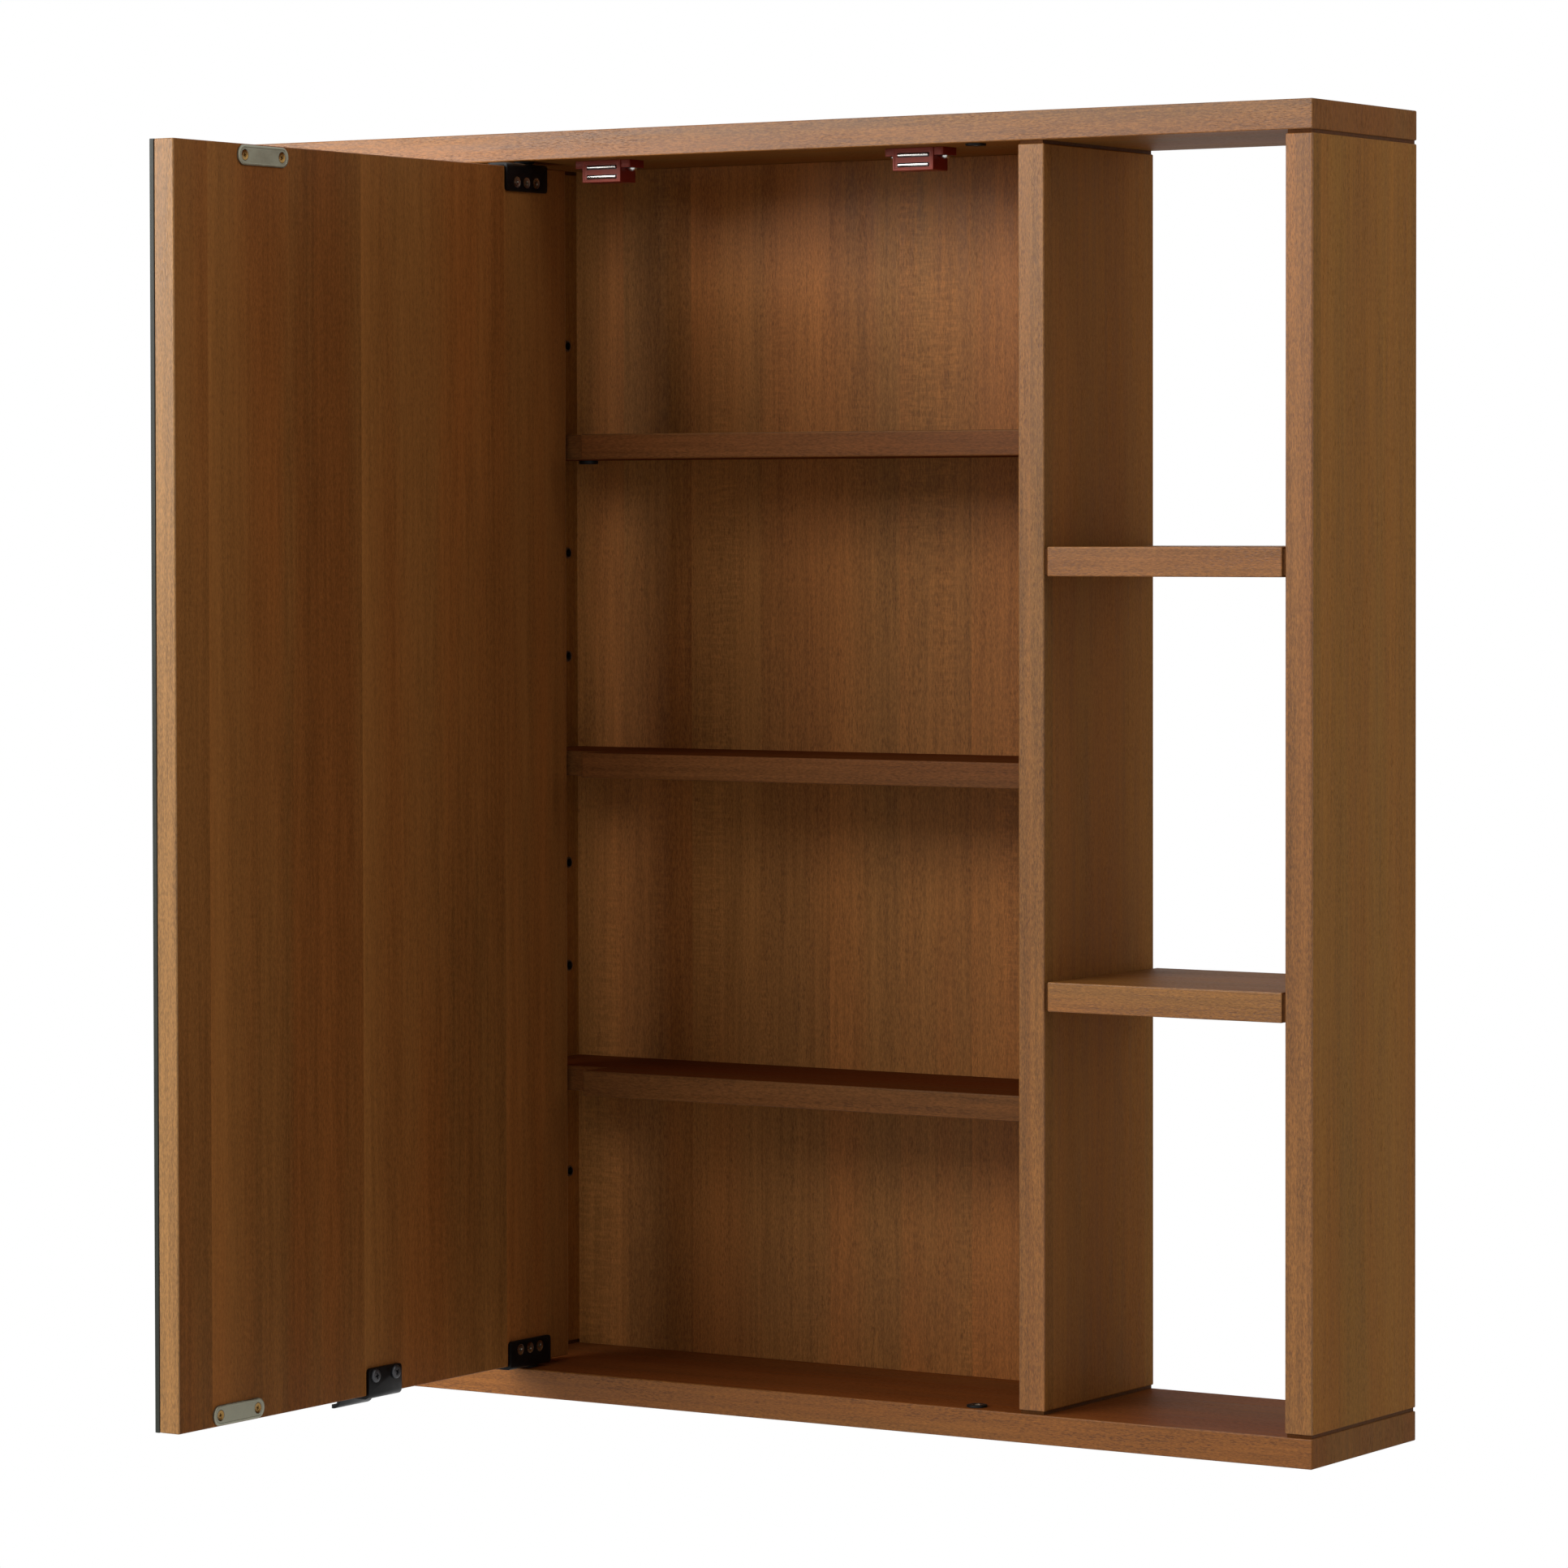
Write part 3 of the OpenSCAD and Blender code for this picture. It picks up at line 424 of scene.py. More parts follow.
woodFinishes = {
    "sideVeneer": {
        "warm": (158, 103, 48), "olive": (153, 106, 51), "pore": (70, 38, 17), "turn": (0, 0, 90),
        "shift": (0.31, 0.02, 0.4), "leaf": 0.107, "leafContrast": 0.05, "slope": 0.05, "bands": 0.2,
        "fibres": 0.34, "pores": 0.25, "ribbon": 0.04,
    },
    "backVeneer": {
        "warm": (174, 109, 52), "olive": (169, 113, 56), "pore": (70, 38, 16), "turn": (0, 0, 180),
        "shift": (0.0934, 0.3, 0.1), "leaf": 0.05, "leafContrast": 0.09, "slope": 0.05, "bands": 0.26,
        "fibres": 0.42, "pores": 0.35, "poreSize": 1.1, "ribbon": 0.2, "rough": 0.47, "shine": 0.3,
    },
    "doorVeneer": {
        "warm": (143, 85, 38), "olive": (140, 90, 43), "pore": (66, 36, 16), "turn": (0, 0, 90),
        "shift": (-0.0095, 0.7, 0.2), "leaf": 0.1425, "leafContrast": 0.08, "slope": 0.16, "bands": 0.36,
        "fibres": 0.36, "pores": 0.2, "ribbon": 0.05, "shine": 0.08,
    },
    "levelVeneer": {
        **levelFigure, "warm": (146, 93, 42), "olive": (141, 96, 46), "pore": (66, 38, 18), "rough": 0.53,
    },
    # the bottom panel: the level wood painted darker, as painted shade
    "floorVeneerPaintedShade": {
        **levelFigure, "warm": (138, 76, 34), "olive": (132, 79, 38), "pore": (62, 32, 14), "rough": 0.58,
        "shine": 0.02,
    },
    "endVeneer": {
        "warm": (136, 86, 44), "olive": (132, 89, 47), "pore": (74, 42, 24), "turn": (0, 0, 90),
        "shift": (0.13, 0.4, 0.0), "bands": 0.16, "fibres": 0.28,
    },
    # the centre shelves' faces: level wood painted much darker, as painted shade inside the middle
    # compartment
    "shelfVeneer": {
        "warm": (96, 44, 15), "olive": (92, 47, 18), "pore": (40, 18, 7), "turn": (0, 90, 0),
        "shift": (0.2, 0.1, 0.0), "bands": 0.16, "pores": 0.25, "rough": 0.6, "shine": 0.01,
    },
    # the reveals' necks: the boards' wood painted darker, as painted shade in the recess
    "revealPaintedShade": {
        "warm": (92, 54, 27), "olive": (89, 56, 29), "pore": (50, 28, 15), "shift": (0.1, 0.1, 0.0),
        "bands": 0.1, "pores": 0.2,
    },
    "uprightEdge": {**edgeFigure, "shift": (0.4, 0.2, 0.9)},
    "levelEdge": {**edgeFigure, "turn": (0, 90, 0), "shift": (0.7, 0.5, 0.3)},
    # the bottom panel's front edge: edge wood painted darker, as painted shade lower down
    "lowEdgePaintedShade": {
        **edgeFigure, "warm": (150, 93, 42), "olive": (145, 97, 46), "pore": (92, 54, 28),
        "turn": (0, 90, 0), "shift": (0.2, 0.8, 0.6), "rough": 0.4, "shine": 0.3,
    },
    "doorEdge": {
        **edgeFigure, "warm": (176, 120, 64), "olive": (170, 122, 68), "pore": (120, 76, 42),
        "shift": (0.1, 0.6, 0.2), "pores": 0.3, "poreSize": 1.0,
    },
    # the centre shelves' fronts: edge wood painted darker, as painted shade from the door and the recess
    "shelfEdge": {
        "warm": (124, 74, 36), "olive": (120, 77, 39), "pore": (64, 34, 18), "turn": (0, 90, 0),
        "shift": (0.7, 0.5, 0.3), "bands": 0.16, "fibres": 0.4, "poreSize": 1.2, "rough": 0.42,
        "shine": 0.15,
    },
    "planedWood": {
        "warm": (196, 160, 112), "olive": (206, 174, 126), "pore": (150, 112, 70), "turn": (0, 90, 0),
        "shift": (0, 0, 0), "leaf": 0.6, "leafContrast": 0.12, "slope": 0.1, "fibres": 0.35, "pores": 0.5,
        "ribbon": 0.15, "shine": 0.25, "bump": 0.4, "bumpDepth": 0.15 * mm,
    },
}
veneerGroup = makeVeneerGroup()
wood = {key: makeFinish(key, veneerGroup, veneerInputs, {**woodCommon, **finish})
        for key, finish in woodFinishes.items()}
print("woods made:", len(wood))


# metals and plastics

surfaceInputs = {"colour": "Base Colour", "grain": "Grain Size", "variation": "Variation",
                 "roughness": "Roughness", "spread": "Roughness Variation"}
surfaceNoise = {"fine": {"scale": (1, 1, 1), "detail": 3.0, "roughness": 0.55},
                "broad": {"scale": (0.12, 0.12, 0.12)}}
surfaceMix = {"broad": 0.6, "fine": 0.4, "range": (0.35, 0.65)}


def makeSurfaceGroup():  # small unevenness of a coated, moulded or plated surface
    tree, inputs, outputs = newGroup("fineSurface", surfaceInputs)
    grains = scaled(tree, inputs["Vector"], calc(tree, "DIVIDE", 1.0, inputs["Grain Size"]))
    fine = noise(tree, grains, **surfaceNoise["fine"])
    broad = noise(tree, grains, **surfaceNoise["broad"])
    fineShare = calc(tree, "MULTIPLY", fine, surfaceMix["fine"])
    mixed = calc(tree, "MULTIPLY_ADD", broad, surfaceMix["broad"], fineShare)
    uneven = remap(tree, mixed, *surfaceMix["range"], -0.5, 0.5)
    tone = calc(tree, "MULTIPLY_ADD", uneven, inputs["Variation"], 1.0)
    tree.links.new(scaled(tree, inputs["Base Colour"], tone), outputs["Colour"])
    gloss = calc(tree, "MULTIPLY_ADD", uneven, inputs["Roughness Variation"], inputs["Roughness"])
    tree.links.new(gloss, outputs["Roughness"])
    tree.links.new(fine, outputs["Height"])
    return tree


metalCommon = {
    "grain": 0.7 * mm, "variation": 0.2, "roughness": 0.3, "spread": 0.12, "metal": 1.0, "shine": 0.5,
    "bump": 0.06, "bumpDepth": 0.1 * mm,
}
plainCommon = {**metalCommon, "spread": 0.1, "metal": 0.0}  # coatings, plastics and glass
metalFinishes = {
    "blackScrew": {
        "colour": (66, 66, 69), "grain": 0.6 * mm, "variation": 0.3, "roughness": 0.34, "metal": 0.6,
        "bump": 0.1,
    },
    "dullZinc": {
        "colour": (138, 137, 120), "grain": 1.2 * mm, "variation": 0.16, "roughness": 0.42, "spread": 0.14,
        "bump": 0.08,
    },
    "brightSteel": {"colour": (196, 196, 192), "variation": 0.14, "roughness": 0.27},
    # the sleeves' and liners' steel, which also paints the strike plates' screw sinks as painted shade
    "sleeveSteelAndSinkShade": {"colour": (104, 92, 80), "roughness": 0.4},
    "darkSteel": {"colour": (158, 150, 136), "grain": 0.6 * mm},
    "brass": {"colour": (140, 108, 58), "grain": 0.6 * mm},
    "silvering": {
        "colour": (226, 230, 229), "grain": 80 * mm, "variation": 0.012, "roughness": 0.015, "spread": 0.01,
        "bump": 0.0,
    },
}
plainFinishes = {
    "satinBlack": {
        "colour": (7, 7, 8), "grain": 0.5 * mm, "variation": 0.25, "roughness": 0.34, "spread": 0.08,
        "shine": 0.16, "bump": 0.15,
    },
    "blackPlastic": {"colour": (16, 16, 16), "roughness": 0.55, "shine": 0.2, "bump": 0.2},
    "catchPlastic": {
        "colour": (128, 34, 22), "grain": 0.8 * mm, "variation": 0.14, "roughness": 0.42, "shine": 0.3,
        "bump": 0.08,
    },
    # a lighter copy of the catch plastic for faces looking forward: painted light
    "catchFrontPaintedLight": {
        "colour": (150, 68, 54), "grain": 0.8 * mm, "roughness": 0.5, "shine": 0.25, "bump": 0.08,
    },
    # the magnets' own black, which also paints the catch slots' insides as painted shade
    "magnetBlackAndSlotShade": {
        "colour": (40, 40, 42), "grain": 0.6 * mm, "variation": 0.25, "roughness": 0.6, "bump": 0.25,
    },
    "glassEdge": {
        "colour": (40, 43, 34), "grain": 3 * mm, "variation": 0.3, "roughness": 0.42, "spread": 0.08,
        "shine": 0.3, "bump": 0.02,
    },
    "mirrorBack": {
        "colour": (96, 98, 98), "grain": 4 * mm, "variation": 0.12, "roughness": 0.45, "spread": 0.08,
        "bump": 0.05,
    },
    "bondFilm": {"colour": (70, 70, 70), "grain": 2 * mm, "variation": 0.15, "roughness": 0.7, "bump": 0.1},
}
surfaceGroup = makeSurfaceGroup()
hard = {key: makeFinish(key, surfaceGroup, surfaceInputs, {**common, **finish})
        for common, finishes in ((metalCommon, metalFinishes), (plainCommon, plainFinishes))
        for key, finish in finishes.items()}
print("hardware finishes made:", len(hard))


# boards

boardShape = {
    "edgeRound": 0.8 * mm, "edgeSteps": 3, "revealLength": 2 * mm, "revealDepth": 1 * mm,
    "edgeTilt": 0.2, "endTilt": 0.75,  # faces tilted this far take the wood of an edge or end
}


def boardName(node):  # left_side becomes leftSideBoard
    first, *others = node.split("_")
    return first + "".join(word.capitalize() for word in others) + "Board"


def makeBoard(node, neckAxis=None):  # a neck at both ends of an axis makes the reveals
    low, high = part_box(node)
    if neckAxis is not None:
        low[neckAxis] += boardShape["revealLength"]
        high[neckAxis] -= boardShape["revealLength"]
    board = addBlock(boardName(node), low, high)
    roundEdges(board, lambda middle, along: True, boardShape["edgeRound"], boardShape["edgeSteps"])
    if neckAxis is not None:
        for side, end in ((-1, low[neckAxis]), (1, high[neckAxis])):
            pick(board, "FACE", lambda middle, normal: normal[neckAxis] * side > axial
                 and same(middle[neckAxis], end))
            bpy.ops.mesh.inset(thickness=boardShape["revealDepth"] - boardShape["edgeRound"])
            extrude(alongAxis(neckAxis, side * boardShape["revealLength"]))
            backToObject()
    return board


def finishBoard(board, body, slotName, node, faceWood, edgeWood, endWood=None, neckAxis=None):
    edge, end = boardShape["edgeTilt"], boardShape["endTilt"]
    paint(board, wood[faceWood], wood[edgeWood], wood[endWood or faceWood], wood["revealPaintedShade"])
    paintFaces(board, 1, lambda middle, normal: abs(normal.y) > edge)
    if endWood:
        paintFaces(board, 2, lambda middle, normal: abs(normal.x) > end
                   or abs(normal.x) > edge > abs(normal.y))
    if neckAxis is not None:
        ends = [corner[neckAxis] for corner in board.bound_box]
        low, high = min(ends) + boardShape["revealLength"], max(ends) - boardShape["revealLength"]
        # the reveal necks take the darker wood: painted shade
        paintFaces(board, 3, lambda middle, normal: not low - near < middle[neckAxis] < high + near)
    fit(smoothedFlat(board), body, slotName, node)


panels = {node: makeBoard(node) for node in ("top_panel", "bottom_panel")}
uprights = {node: makeBoard(node, 2) for node in ("left_side", "right_side", "left_divider", "right_divider")}
bayShelves = {}
for side in ("left", "right"):
    for level in ("upper", "lower"):
        node = side + "_" + level + "_shelf"
        bayShelves[node] = makeBoard(node, 0)

# rows of support holes, from the sleeves' own box
sleeveShape = {
    "flange": 3.5 * mm, "flangeThick": 0.4 * mm, "body": 3.05 * mm, "bore": 2.55 * mm, "length": 8 * mm,
    "rim": 0.25 * mm, "count": 9, "sides": 28, "seatGap": 0.03 * mm, "boreLength": 14 * mm,
}
sleeveLow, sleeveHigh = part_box("pin_sleeves")
rowLow = sleeveLow.z + sleeveShape["flange"]
rowHigh = sleeveHigh.z - sleeveShape["flange"]
holeHeights = [rowLow + (rowHigh - rowLow) * i / (sleeveShape["count"] - 1)
               for i in range(sleeveShape["count"])]
holeDepths = [sleeveLow.y + sleeveShape["flange"], sleeveHigh.y - sleeveShape["flange"]]

for node, side in (("left_divider", -1), ("right_divider", 1)):
    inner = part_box(node)[0 if side > 0 else 1].x
    carve(uprights[node], [
        addRod("hole", (inner - side * past, depth, height), sleeveShape["body"] + sleeveShape["seatGap"],
               side * (sleeveShape["length"] + past), "x", sleeveShape["sides"])
        for height in holeHeights for depth in holeDepths])

# seats of the pivot bushings, in both panels
bushingShape = {
    "flange": 6 * mm, "flangeThick": 1.4 * mm, "body": 4.6 * mm, "length": 11.5 * mm, "floor": 1 * mm,
    "rim": 0.6 * mm, "linerOuter": 3.45 * mm, "bore": 2.55 * mm, "sides": 36, "seatGap": 0.04 * mm,
    "linerGap": 0.03 * mm, "linerSunk": 0.15 * mm, "linerEdge": 0.2 * mm, "boreLength": 20 * mm,
}
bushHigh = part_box("pivot_bushings")[1]
pivotX = bushHigh.x - bushingShape["flange"]
pivotY = bushHigh.y - bushingShape["flange"]
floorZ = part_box("bottom_panel")[1].z
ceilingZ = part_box("top_panel")[0].z

seatRadius = bushingShape["body"] + bushingShape["seatGap"]
for node, surface, way in (("bottom_panel", floorZ, -1), ("top_panel", ceilingZ, 1)):
    carve(panels[node], [
        addRod("seat", (side * pivotX, pivotY, surface - way * past), seatRadius,
               way * (bushingShape["length"] + past), "z", bushingShape["sides"]) for side in (-1, 1)])

# the bottom panel's woods are darker copies of the top panel's: painted shade
for node, faceWood, edgeWood in (("top_panel", "levelVeneer", "levelEdge"),
                                 ("bottom_panel", "floorVeneerPaintedShade", "lowEdgePaintedShade")):
    finishBoard(panels[node], "cabinet", "wood_panels", node, faceWood, edgeWood, "endVeneer")
for node, board in uprights.items():
    finishBoard(board, "cabinet", "wood_boards", node, "sideVeneer", "uprightEdge", neckAxis=2)
for node, board in bayShelves.items():
    finishBoard(board, "cabinet", "wood_shelves", node, "levelVeneer", "levelEdge", neckAxis=0)
print("case boards made")

# back panel: only what shows between the boards, its tongues stay out of sight
backShape = {"edgeRound": 0.3 * mm, "edgeSteps": 2}
backLow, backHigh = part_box("back_panel")
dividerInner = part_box("right_divider")[0].x
backBoard = addBlock("backBoard", (-dividerInner, backLow.y, floorZ), (dividerInner, backHigh.y, ceilingZ))
roundEdges(backBoard, lambda middle, along: True, backShape["edgeRound"], backShape["edgeSteps"])
paint(backBoard, wood["backVeneer"])
fit(smoothedFlat(backBoard), "cabinet", "wood_back", "back_panel")

# centre shelves, with the corner left out for the door's hinged end
notchCorner = (-125.0 * mm, -83.1 * mm)
for level in ("upper", "middle", "lower"):
    node = "centre_" + level + "_shelf"
    low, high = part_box(node)
    shelf = addBlock(boardName(node), low, high)
    carve(shelf, [addBlock("corner", low - Vector((past, past, past)), (*notchCorner, high.z + past))])
    easeEdges(shelf, boardShape["edgeRound"], boardShape["edgeSteps"])
    # the centre shelves' darker woods are painted shade
    finishBoard(shelf, "cabinet", "wood_shelves", node, "shelfVeneer", "shelfEdge")
print("shelves made")


# door and mirror

doorLow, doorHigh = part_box("door_panel")
doorMiddle = (doorLow.z + doorHigh.z) / 2
doorBoard = named(makeBoard("door_panel"), "doorBoard")
finishBoard(doorBoard, "door", "wood_door", "door_panel", "doorVeneer", "doorEdge")

mirrorShape = {"polish": 0.5 * mm, "steps": 2}
mirrorLow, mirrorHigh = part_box("mirror_glass")
mirrorGlass = addBlock("mirrorPane", mirrorLow, mirrorHigh)
roundEdges(mirrorGlass, lambda middle, along: same(middle.x, mirrorLow.x), mirrorShape["polish"],
           mirrorShape["steps"])
paint(mirrorGlass, hard["glassEdge"], hard["silvering"], hard["mirrorBack"])
paintFaces(mirrorGlass, 1, lambda middle, normal: normal.x < -axial)
paintFaces(mirrorGlass, 2, lambda middle, normal: normal.x > axial)
fit(smoothedFlat(mirrorGlass), "door", "mirror", "mirror_glass")
print("door made")


# screws

screwForm = {  # mostly shares of the head's radius or height
    "headSides": 40, "domeStart": 0.9, "dome": 0.72, "domeSteps": 5, "coneFoot": 0.5, "rim": 0.08,
    "dish": 0.03, "slotReach": 0.56, "slotHalf": 0.15, "slotDeep": 0.42, "slotTaper": 0.5, "shankStart": 0.9,
    "shankSides": 20, "tip": 0.15, "smooth": 30,
}


def makeScrew(name, shape):  # head up along +Z at the origin, turned into place later
    radius, height, form = shape["radius"], shape["height"], screwForm
    if shape["raised"]:
        top = height
        head = addRod(name, (0, 0, 0), radius, height, "z", form["headSides"])
        roundEdges(head, lambda middle, along: middle.z > height * form["domeStart"], height * form["dome"],
                   form["domeSteps"])
    else:
        top = 0
        head = addRod(name, (0, 0, -height), radius * form["coneFoot"], height, "z", form["headSides"],
                      radius)
        pick(head, "FACE", lambda middle, normal: normal.z > axial)
        bpy.ops.mesh.inset(thickness=radius * form["rim"], depth=-radius * form["dish"])
        backToObject()
    reach, half, deep = (radius * form[key] for key in ("slotReach", "slotHalf", "slotDeep"))
    for first, second in ((reach, half), (half, reach)):  # a cross slot
        slot = addBlock("slot", (-first, -second, top - deep), (first, second, top + past))
        pick(slot, "FACE", lambda middle, normal: normal.z < -axial)
        bpy.ops.transform.resize(value=(form["slotTaper"], form["slotTaper"], 1))
        backToObject()
        carve(head, [slot])
    shank = addRod(name + "Shank", (0, 0, top - height * form["shankStart"]), shape["shank"],
                   -shape["length"], "z", form["shankSides"])
    pick(shank, "FACE", lambda middle, normal: normal.z < -axial)
    extrude((0, 0, -shape["shank"]))
    bpy.ops.transform.resize(value=(form["tip"], form["tip"], 1))
    backToObject()
    return joined([head, shank], name)


def turned(axis, way, turnAngle, place):  # brings +Z onto the way along an axis, and the piece to its place
    aim = Vector(alongAxis("xyz".index(axis), way))
    return (Matrix.Translation(place) @ aim.to_track_quat("Z", "Y").to_matrix().to_4x4()
            @ Matrix.Rotation(math.radians(turnAngle), 4, "Z"))


def placeScrews(shape, name, places, body, slotName, node, material):
    model = makeScrew(name + "Model", shape)
    copies = [copied(model, turned(*place)) for place in places]
    bpy.data.objects.remove(model)
    fitSet(copies, name, material, body, slotName, node, screwForm["smooth"])


def makeSinks(face, places, sink):  # cone cutters for screw heads, in a face that looks to the right
    return [addRod("sink", (face + sink["above"], y, z), sink["wide"], -sink["deep"], "x", sink["sides"],
                   sink["narrow"]) for y, z in places]


# hinge brackets

def mirroredAboutDoor(piece):
    return copied(piece, Matrix.Translation((0, 0, 2 * doorMiddle)) @ Matrix.Scale(-1, 4, (0, 0, 1)))


bracketShape = {
    "thick": 2 * mm, "corner": 2.5 * mm, "bend": 0.5 * mm, "bendSteps": 3, "edge": 0.25 * mm,
    "easeAngle": 40, "screwBack": 1.9 * mm, "screwPitch": 10 * mm, "screwUp": 9.5 * mm,
    "screwSunk": 0.05 * mm, "lowTurns": (20, 55, 90), "highTurns": (65, 40, 15),
    "sink": {"above": 0.02 * mm, "wide": 3.45 * mm, "narrow": 1.6 * mm, "deep": 1.8 * mm, "sides": 36},
    "screw": {"radius": 3.3 * mm, "height": 1.8 * mm, "shank": 1.5 * mm, "length": 10 * mm, "raised": False},
    "pin": 2.5 * mm, "pinTip": 0.8 * mm, "pinTipSteps": 4, "pinSides": 32,
}
hingeY = frame["joints"][0]["pos_m"][1]


def makeBrackets():  # an angle with a foot, and its twin at the door's other end
    shape = bracketShape
    thick = shape["thick"]
    low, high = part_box("bottom_hinge_bracket")
    bracket = addBlock("bottomBracket", (high.x - thick, low.y, low.z), high)
    editAll(bracket)
    bpy.ops.mesh.bisect(plane_co=(0, 0, low.z + thick), plane_no=(0, 0, 1))
    backToObject()
    pick(bracket, "FACE", lambda middle, normal: normal.x < -axial and middle.z < low.z + thick)
    extrude((low.x - high.x + thick, 0, 0))
    backToObject()
    roundAlong(bracket, "x", {"z": high.z}, shape["corner"])
    roundAlong(bracket, "z", {"x": low.x}, shape["corner"])
    roundAlong(bracket, "y", {"x": high.x, "z": low.z}, thick)
    roundAlong(bracket, "y", {"x": high.x - thick, "z": low.z + thick}, shape["bend"], shape["bendSteps"])
    places = [(hingeY - shape["screwBack"] - i * shape["screwPitch"], doorLow.z + shape["screwUp"])
              for i in range(len(shape["lowTurns"]))]
    carve(bracket, makeSinks(high.x, places, shape["sink"]))
    easeEdges(bracket, shape["edge"], angle=shape["easeAngle"])
    paint(bracket, hard["satinBlack"])
    twin = named(mirroredAboutDoor(smoothed(bracket)), "topBracket")
    fit(bracket, "door", "black_metal", "bottom_hinge_bracket")
    fit(twin, "door", "black_metal", "top_hinge_bracket")

    screwX = high.x - shape["screwSunk"]
    screwPlaces = []
    for (y, z), lowTurn, highTurn in zip(places, shape["lowTurns"], shape["highTurns"]):
        screwPlaces.append(("x", 1, lowTurn, (screwX, y, z)))
        screwPlaces.append(("x", 1, highTurn, (screwX, y, 2 * doorMiddle - z)))
    placeScrews(shape["screw"], "hingeScrewSet", screwPlaces, "door", "bright_steel", "hinge_screws",
                hard["darkSteel"])


def makePins():  # each stands on a bracket's foot, with a rounded tip
    shape = bracketShape
    low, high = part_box("pivot_pins")
    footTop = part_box("bottom_hinge_bracket")[0].z + shape["thick"]
    pin = addRod("lowerPin", ((low.x + high.x) / 2, hingeY, low.z), shape["pin"], footTop - low.z, "z",
                 shape["pinSides"])
    roundEdges(pin, lambda middle, along: same(middle.z, low.z), shape["pinTip"], shape["pinTipSteps"])
    fitSet([pin, mirroredAboutDoor(pin)], "pivotPinPair", hard["brightSteel"], "door", "bright_steel",
           "pivot_pins")


makeBrackets()
makePins()
print("hinges made")


# finger pull: a bent strip, with its lip below the mirror

pullShape = {
    "thick": 2 * mm, "corner": 2.5 * mm, "edge": 0.3 * mm, "bend": 2.2 * mm, "stepStart": 0.9 * mm,
    "stepRun": 3.8 * mm, "drop": 7 * mm, "steps": 6, "screwGap": 19.7 * mm, "screwDown": 4.6 * mm,
    "slotTurns": (12, 58),
    "screw": {"radius": 4 * mm, "height": 1.6 * mm, "shank": 1.5 * mm, "length": 11 * mm, "raised": True},
}


def makePull():  # the path is bent in a plane, then given its thickness
    shape = pullShape
    low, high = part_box("finger_pull")
    middleY = (low.y + high.y) / 2
    half = shape["thick"] / 2
    runZ = low.z + shape["drop"] + half
    stepX = mirrorLow.x - shape["stepStart"]
    lipZ = low.z + half
    path = [(high.x - half, runZ), (stepX, runZ), (stepX - shape["stepRun"], lipZ), (low.x, lipZ)]
    deselect()
    bpy.ops.mesh.primitive_plane_add(size=1, location=(high.x - half, middleY, (runZ + high.z) / 2),
                                     rotation=turnTo["x"])
    pull = named(bpy.context.object, "fingerPullPlate")
    pull.scale = (high.z - runZ, high.y - low.y, 1)
    settle(pull)
    for (x, z), (nextX, nextZ) in zip(path, path[1:]):
        pick(pull, "EDGE", lambda middle, along: abs(along.y) > axial and same(middle.x, x)
             and same(middle.z, z))
        extrude((nextX - x, 0, nextZ - z))
        backToObject()
    roundEdges(pull, lambda middle, along: abs(along.y) > axial and low.x + half < middle.x
               and middle.z < high.z - half, shape["bend"], shape["steps"])
    pick(pull, "VERT", lambda place: (same(place.y, low.y) or same(place.y, high.y))
         and (place.z > high.z - near or place.x < low.x + near))
    bpy.ops.mesh.bevel(offset=shape["corner"], segments=shape["steps"], affect="VERTICES")
    backToObject()
    applyModifier(pull, "SOLIDIFY", thickness=shape["thick"], offset=0)
    easeEdges(pull, shape["edge"])
    paint(pull, hard["satinBlack"])
    fit(smoothed(pull), "door", "black_metal", "finger_pull")

    screwZ = high.z - shape["screwDown"]
    screwPlaces = [("x", 1, turn, (high.x, middleY + side * shape["screwGap"] / 2, screwZ))
                   for side, turn in zip((-1, 1), shape["slotTurns"])]
    placeScrews(shape["screw"], "pullScrewPair", screwPlaces, "door", "black_metal", "pull_screws",
                hard["blackScrew"])


makePull()
print("finger pull made")


# strike plates, slightly hollow inside a rim

strikeShape = {
    "edge": 0.45 * mm, "rim": 0.75 * mm, "rimSlope": 0.2 * mm, "hollow": 0.14 * mm, "sides": 48,
    "smooth": 25, "screwGap": 34 * mm, "screwSunk": 0.3 * mm, "slotTurns": (15, 65), "hole": 3.35 * mm,
    "sink": {"above": 0.3 * mm, "wide": 3.65 * mm, "narrow": 1.9 * mm, "deep": 2 * mm, "sides": 36},
    "screw": {"radius": 2.85 * mm, "height": 1.5 * mm, "shank": 1.4 * mm, "length": 10 * mm, "raised": False},
}


def makeStrike(node, name):
    shape = strikeShape
    low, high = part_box(node)
    middle = (low + high) / 2
    radius = (high.z - low.z) / 2
    plate = addRod(name, (low.x, low.y + radius, middle.z), radius, high.x - low.x, "x", shape["sides"])
    pick(plate, "VERT", lambda place: place.y > low.y + radius + near)
    bpy.ops.transform.translate(value=(0, high.y - low.y - 2 * radius, 0))
    backToObject()
    roundEdges(plate, lambda place, along: place.x > high.x - near, shape["edge"])
    hollowFace(plate, lambda place, normal: normal.x > axial and place.x > high.x - near, shape["rim"],
               shape["rimSlope"], shape["hollow"])
    places = [(middle.y + side * shape["screwGap"] / 2, middle.z) for side in (-1, 1)]
    carve(plate, makeSinks(high.x, places, shape["sink"]))
    paint(plate, hard["dullZinc"], hard["sleeveSteelAndSinkShade"])
    # the sinks' walls take the darker steel: painted shade in the recesses
    paintFaces(plate, 1, lambda place, normal: normal.x < axial and any(
        math.hypot(place.y - y, place.z - z) < shape["hole"] for y, z in places))
    fit(smoothed(plate, shape["smooth"]), "door", "zinc_plate", node)
    return [("x", 1, turn, (high.x - shape["screwSunk"], y, z))
            for turn, (y, z) in zip(shape["slotTurns"], places)]


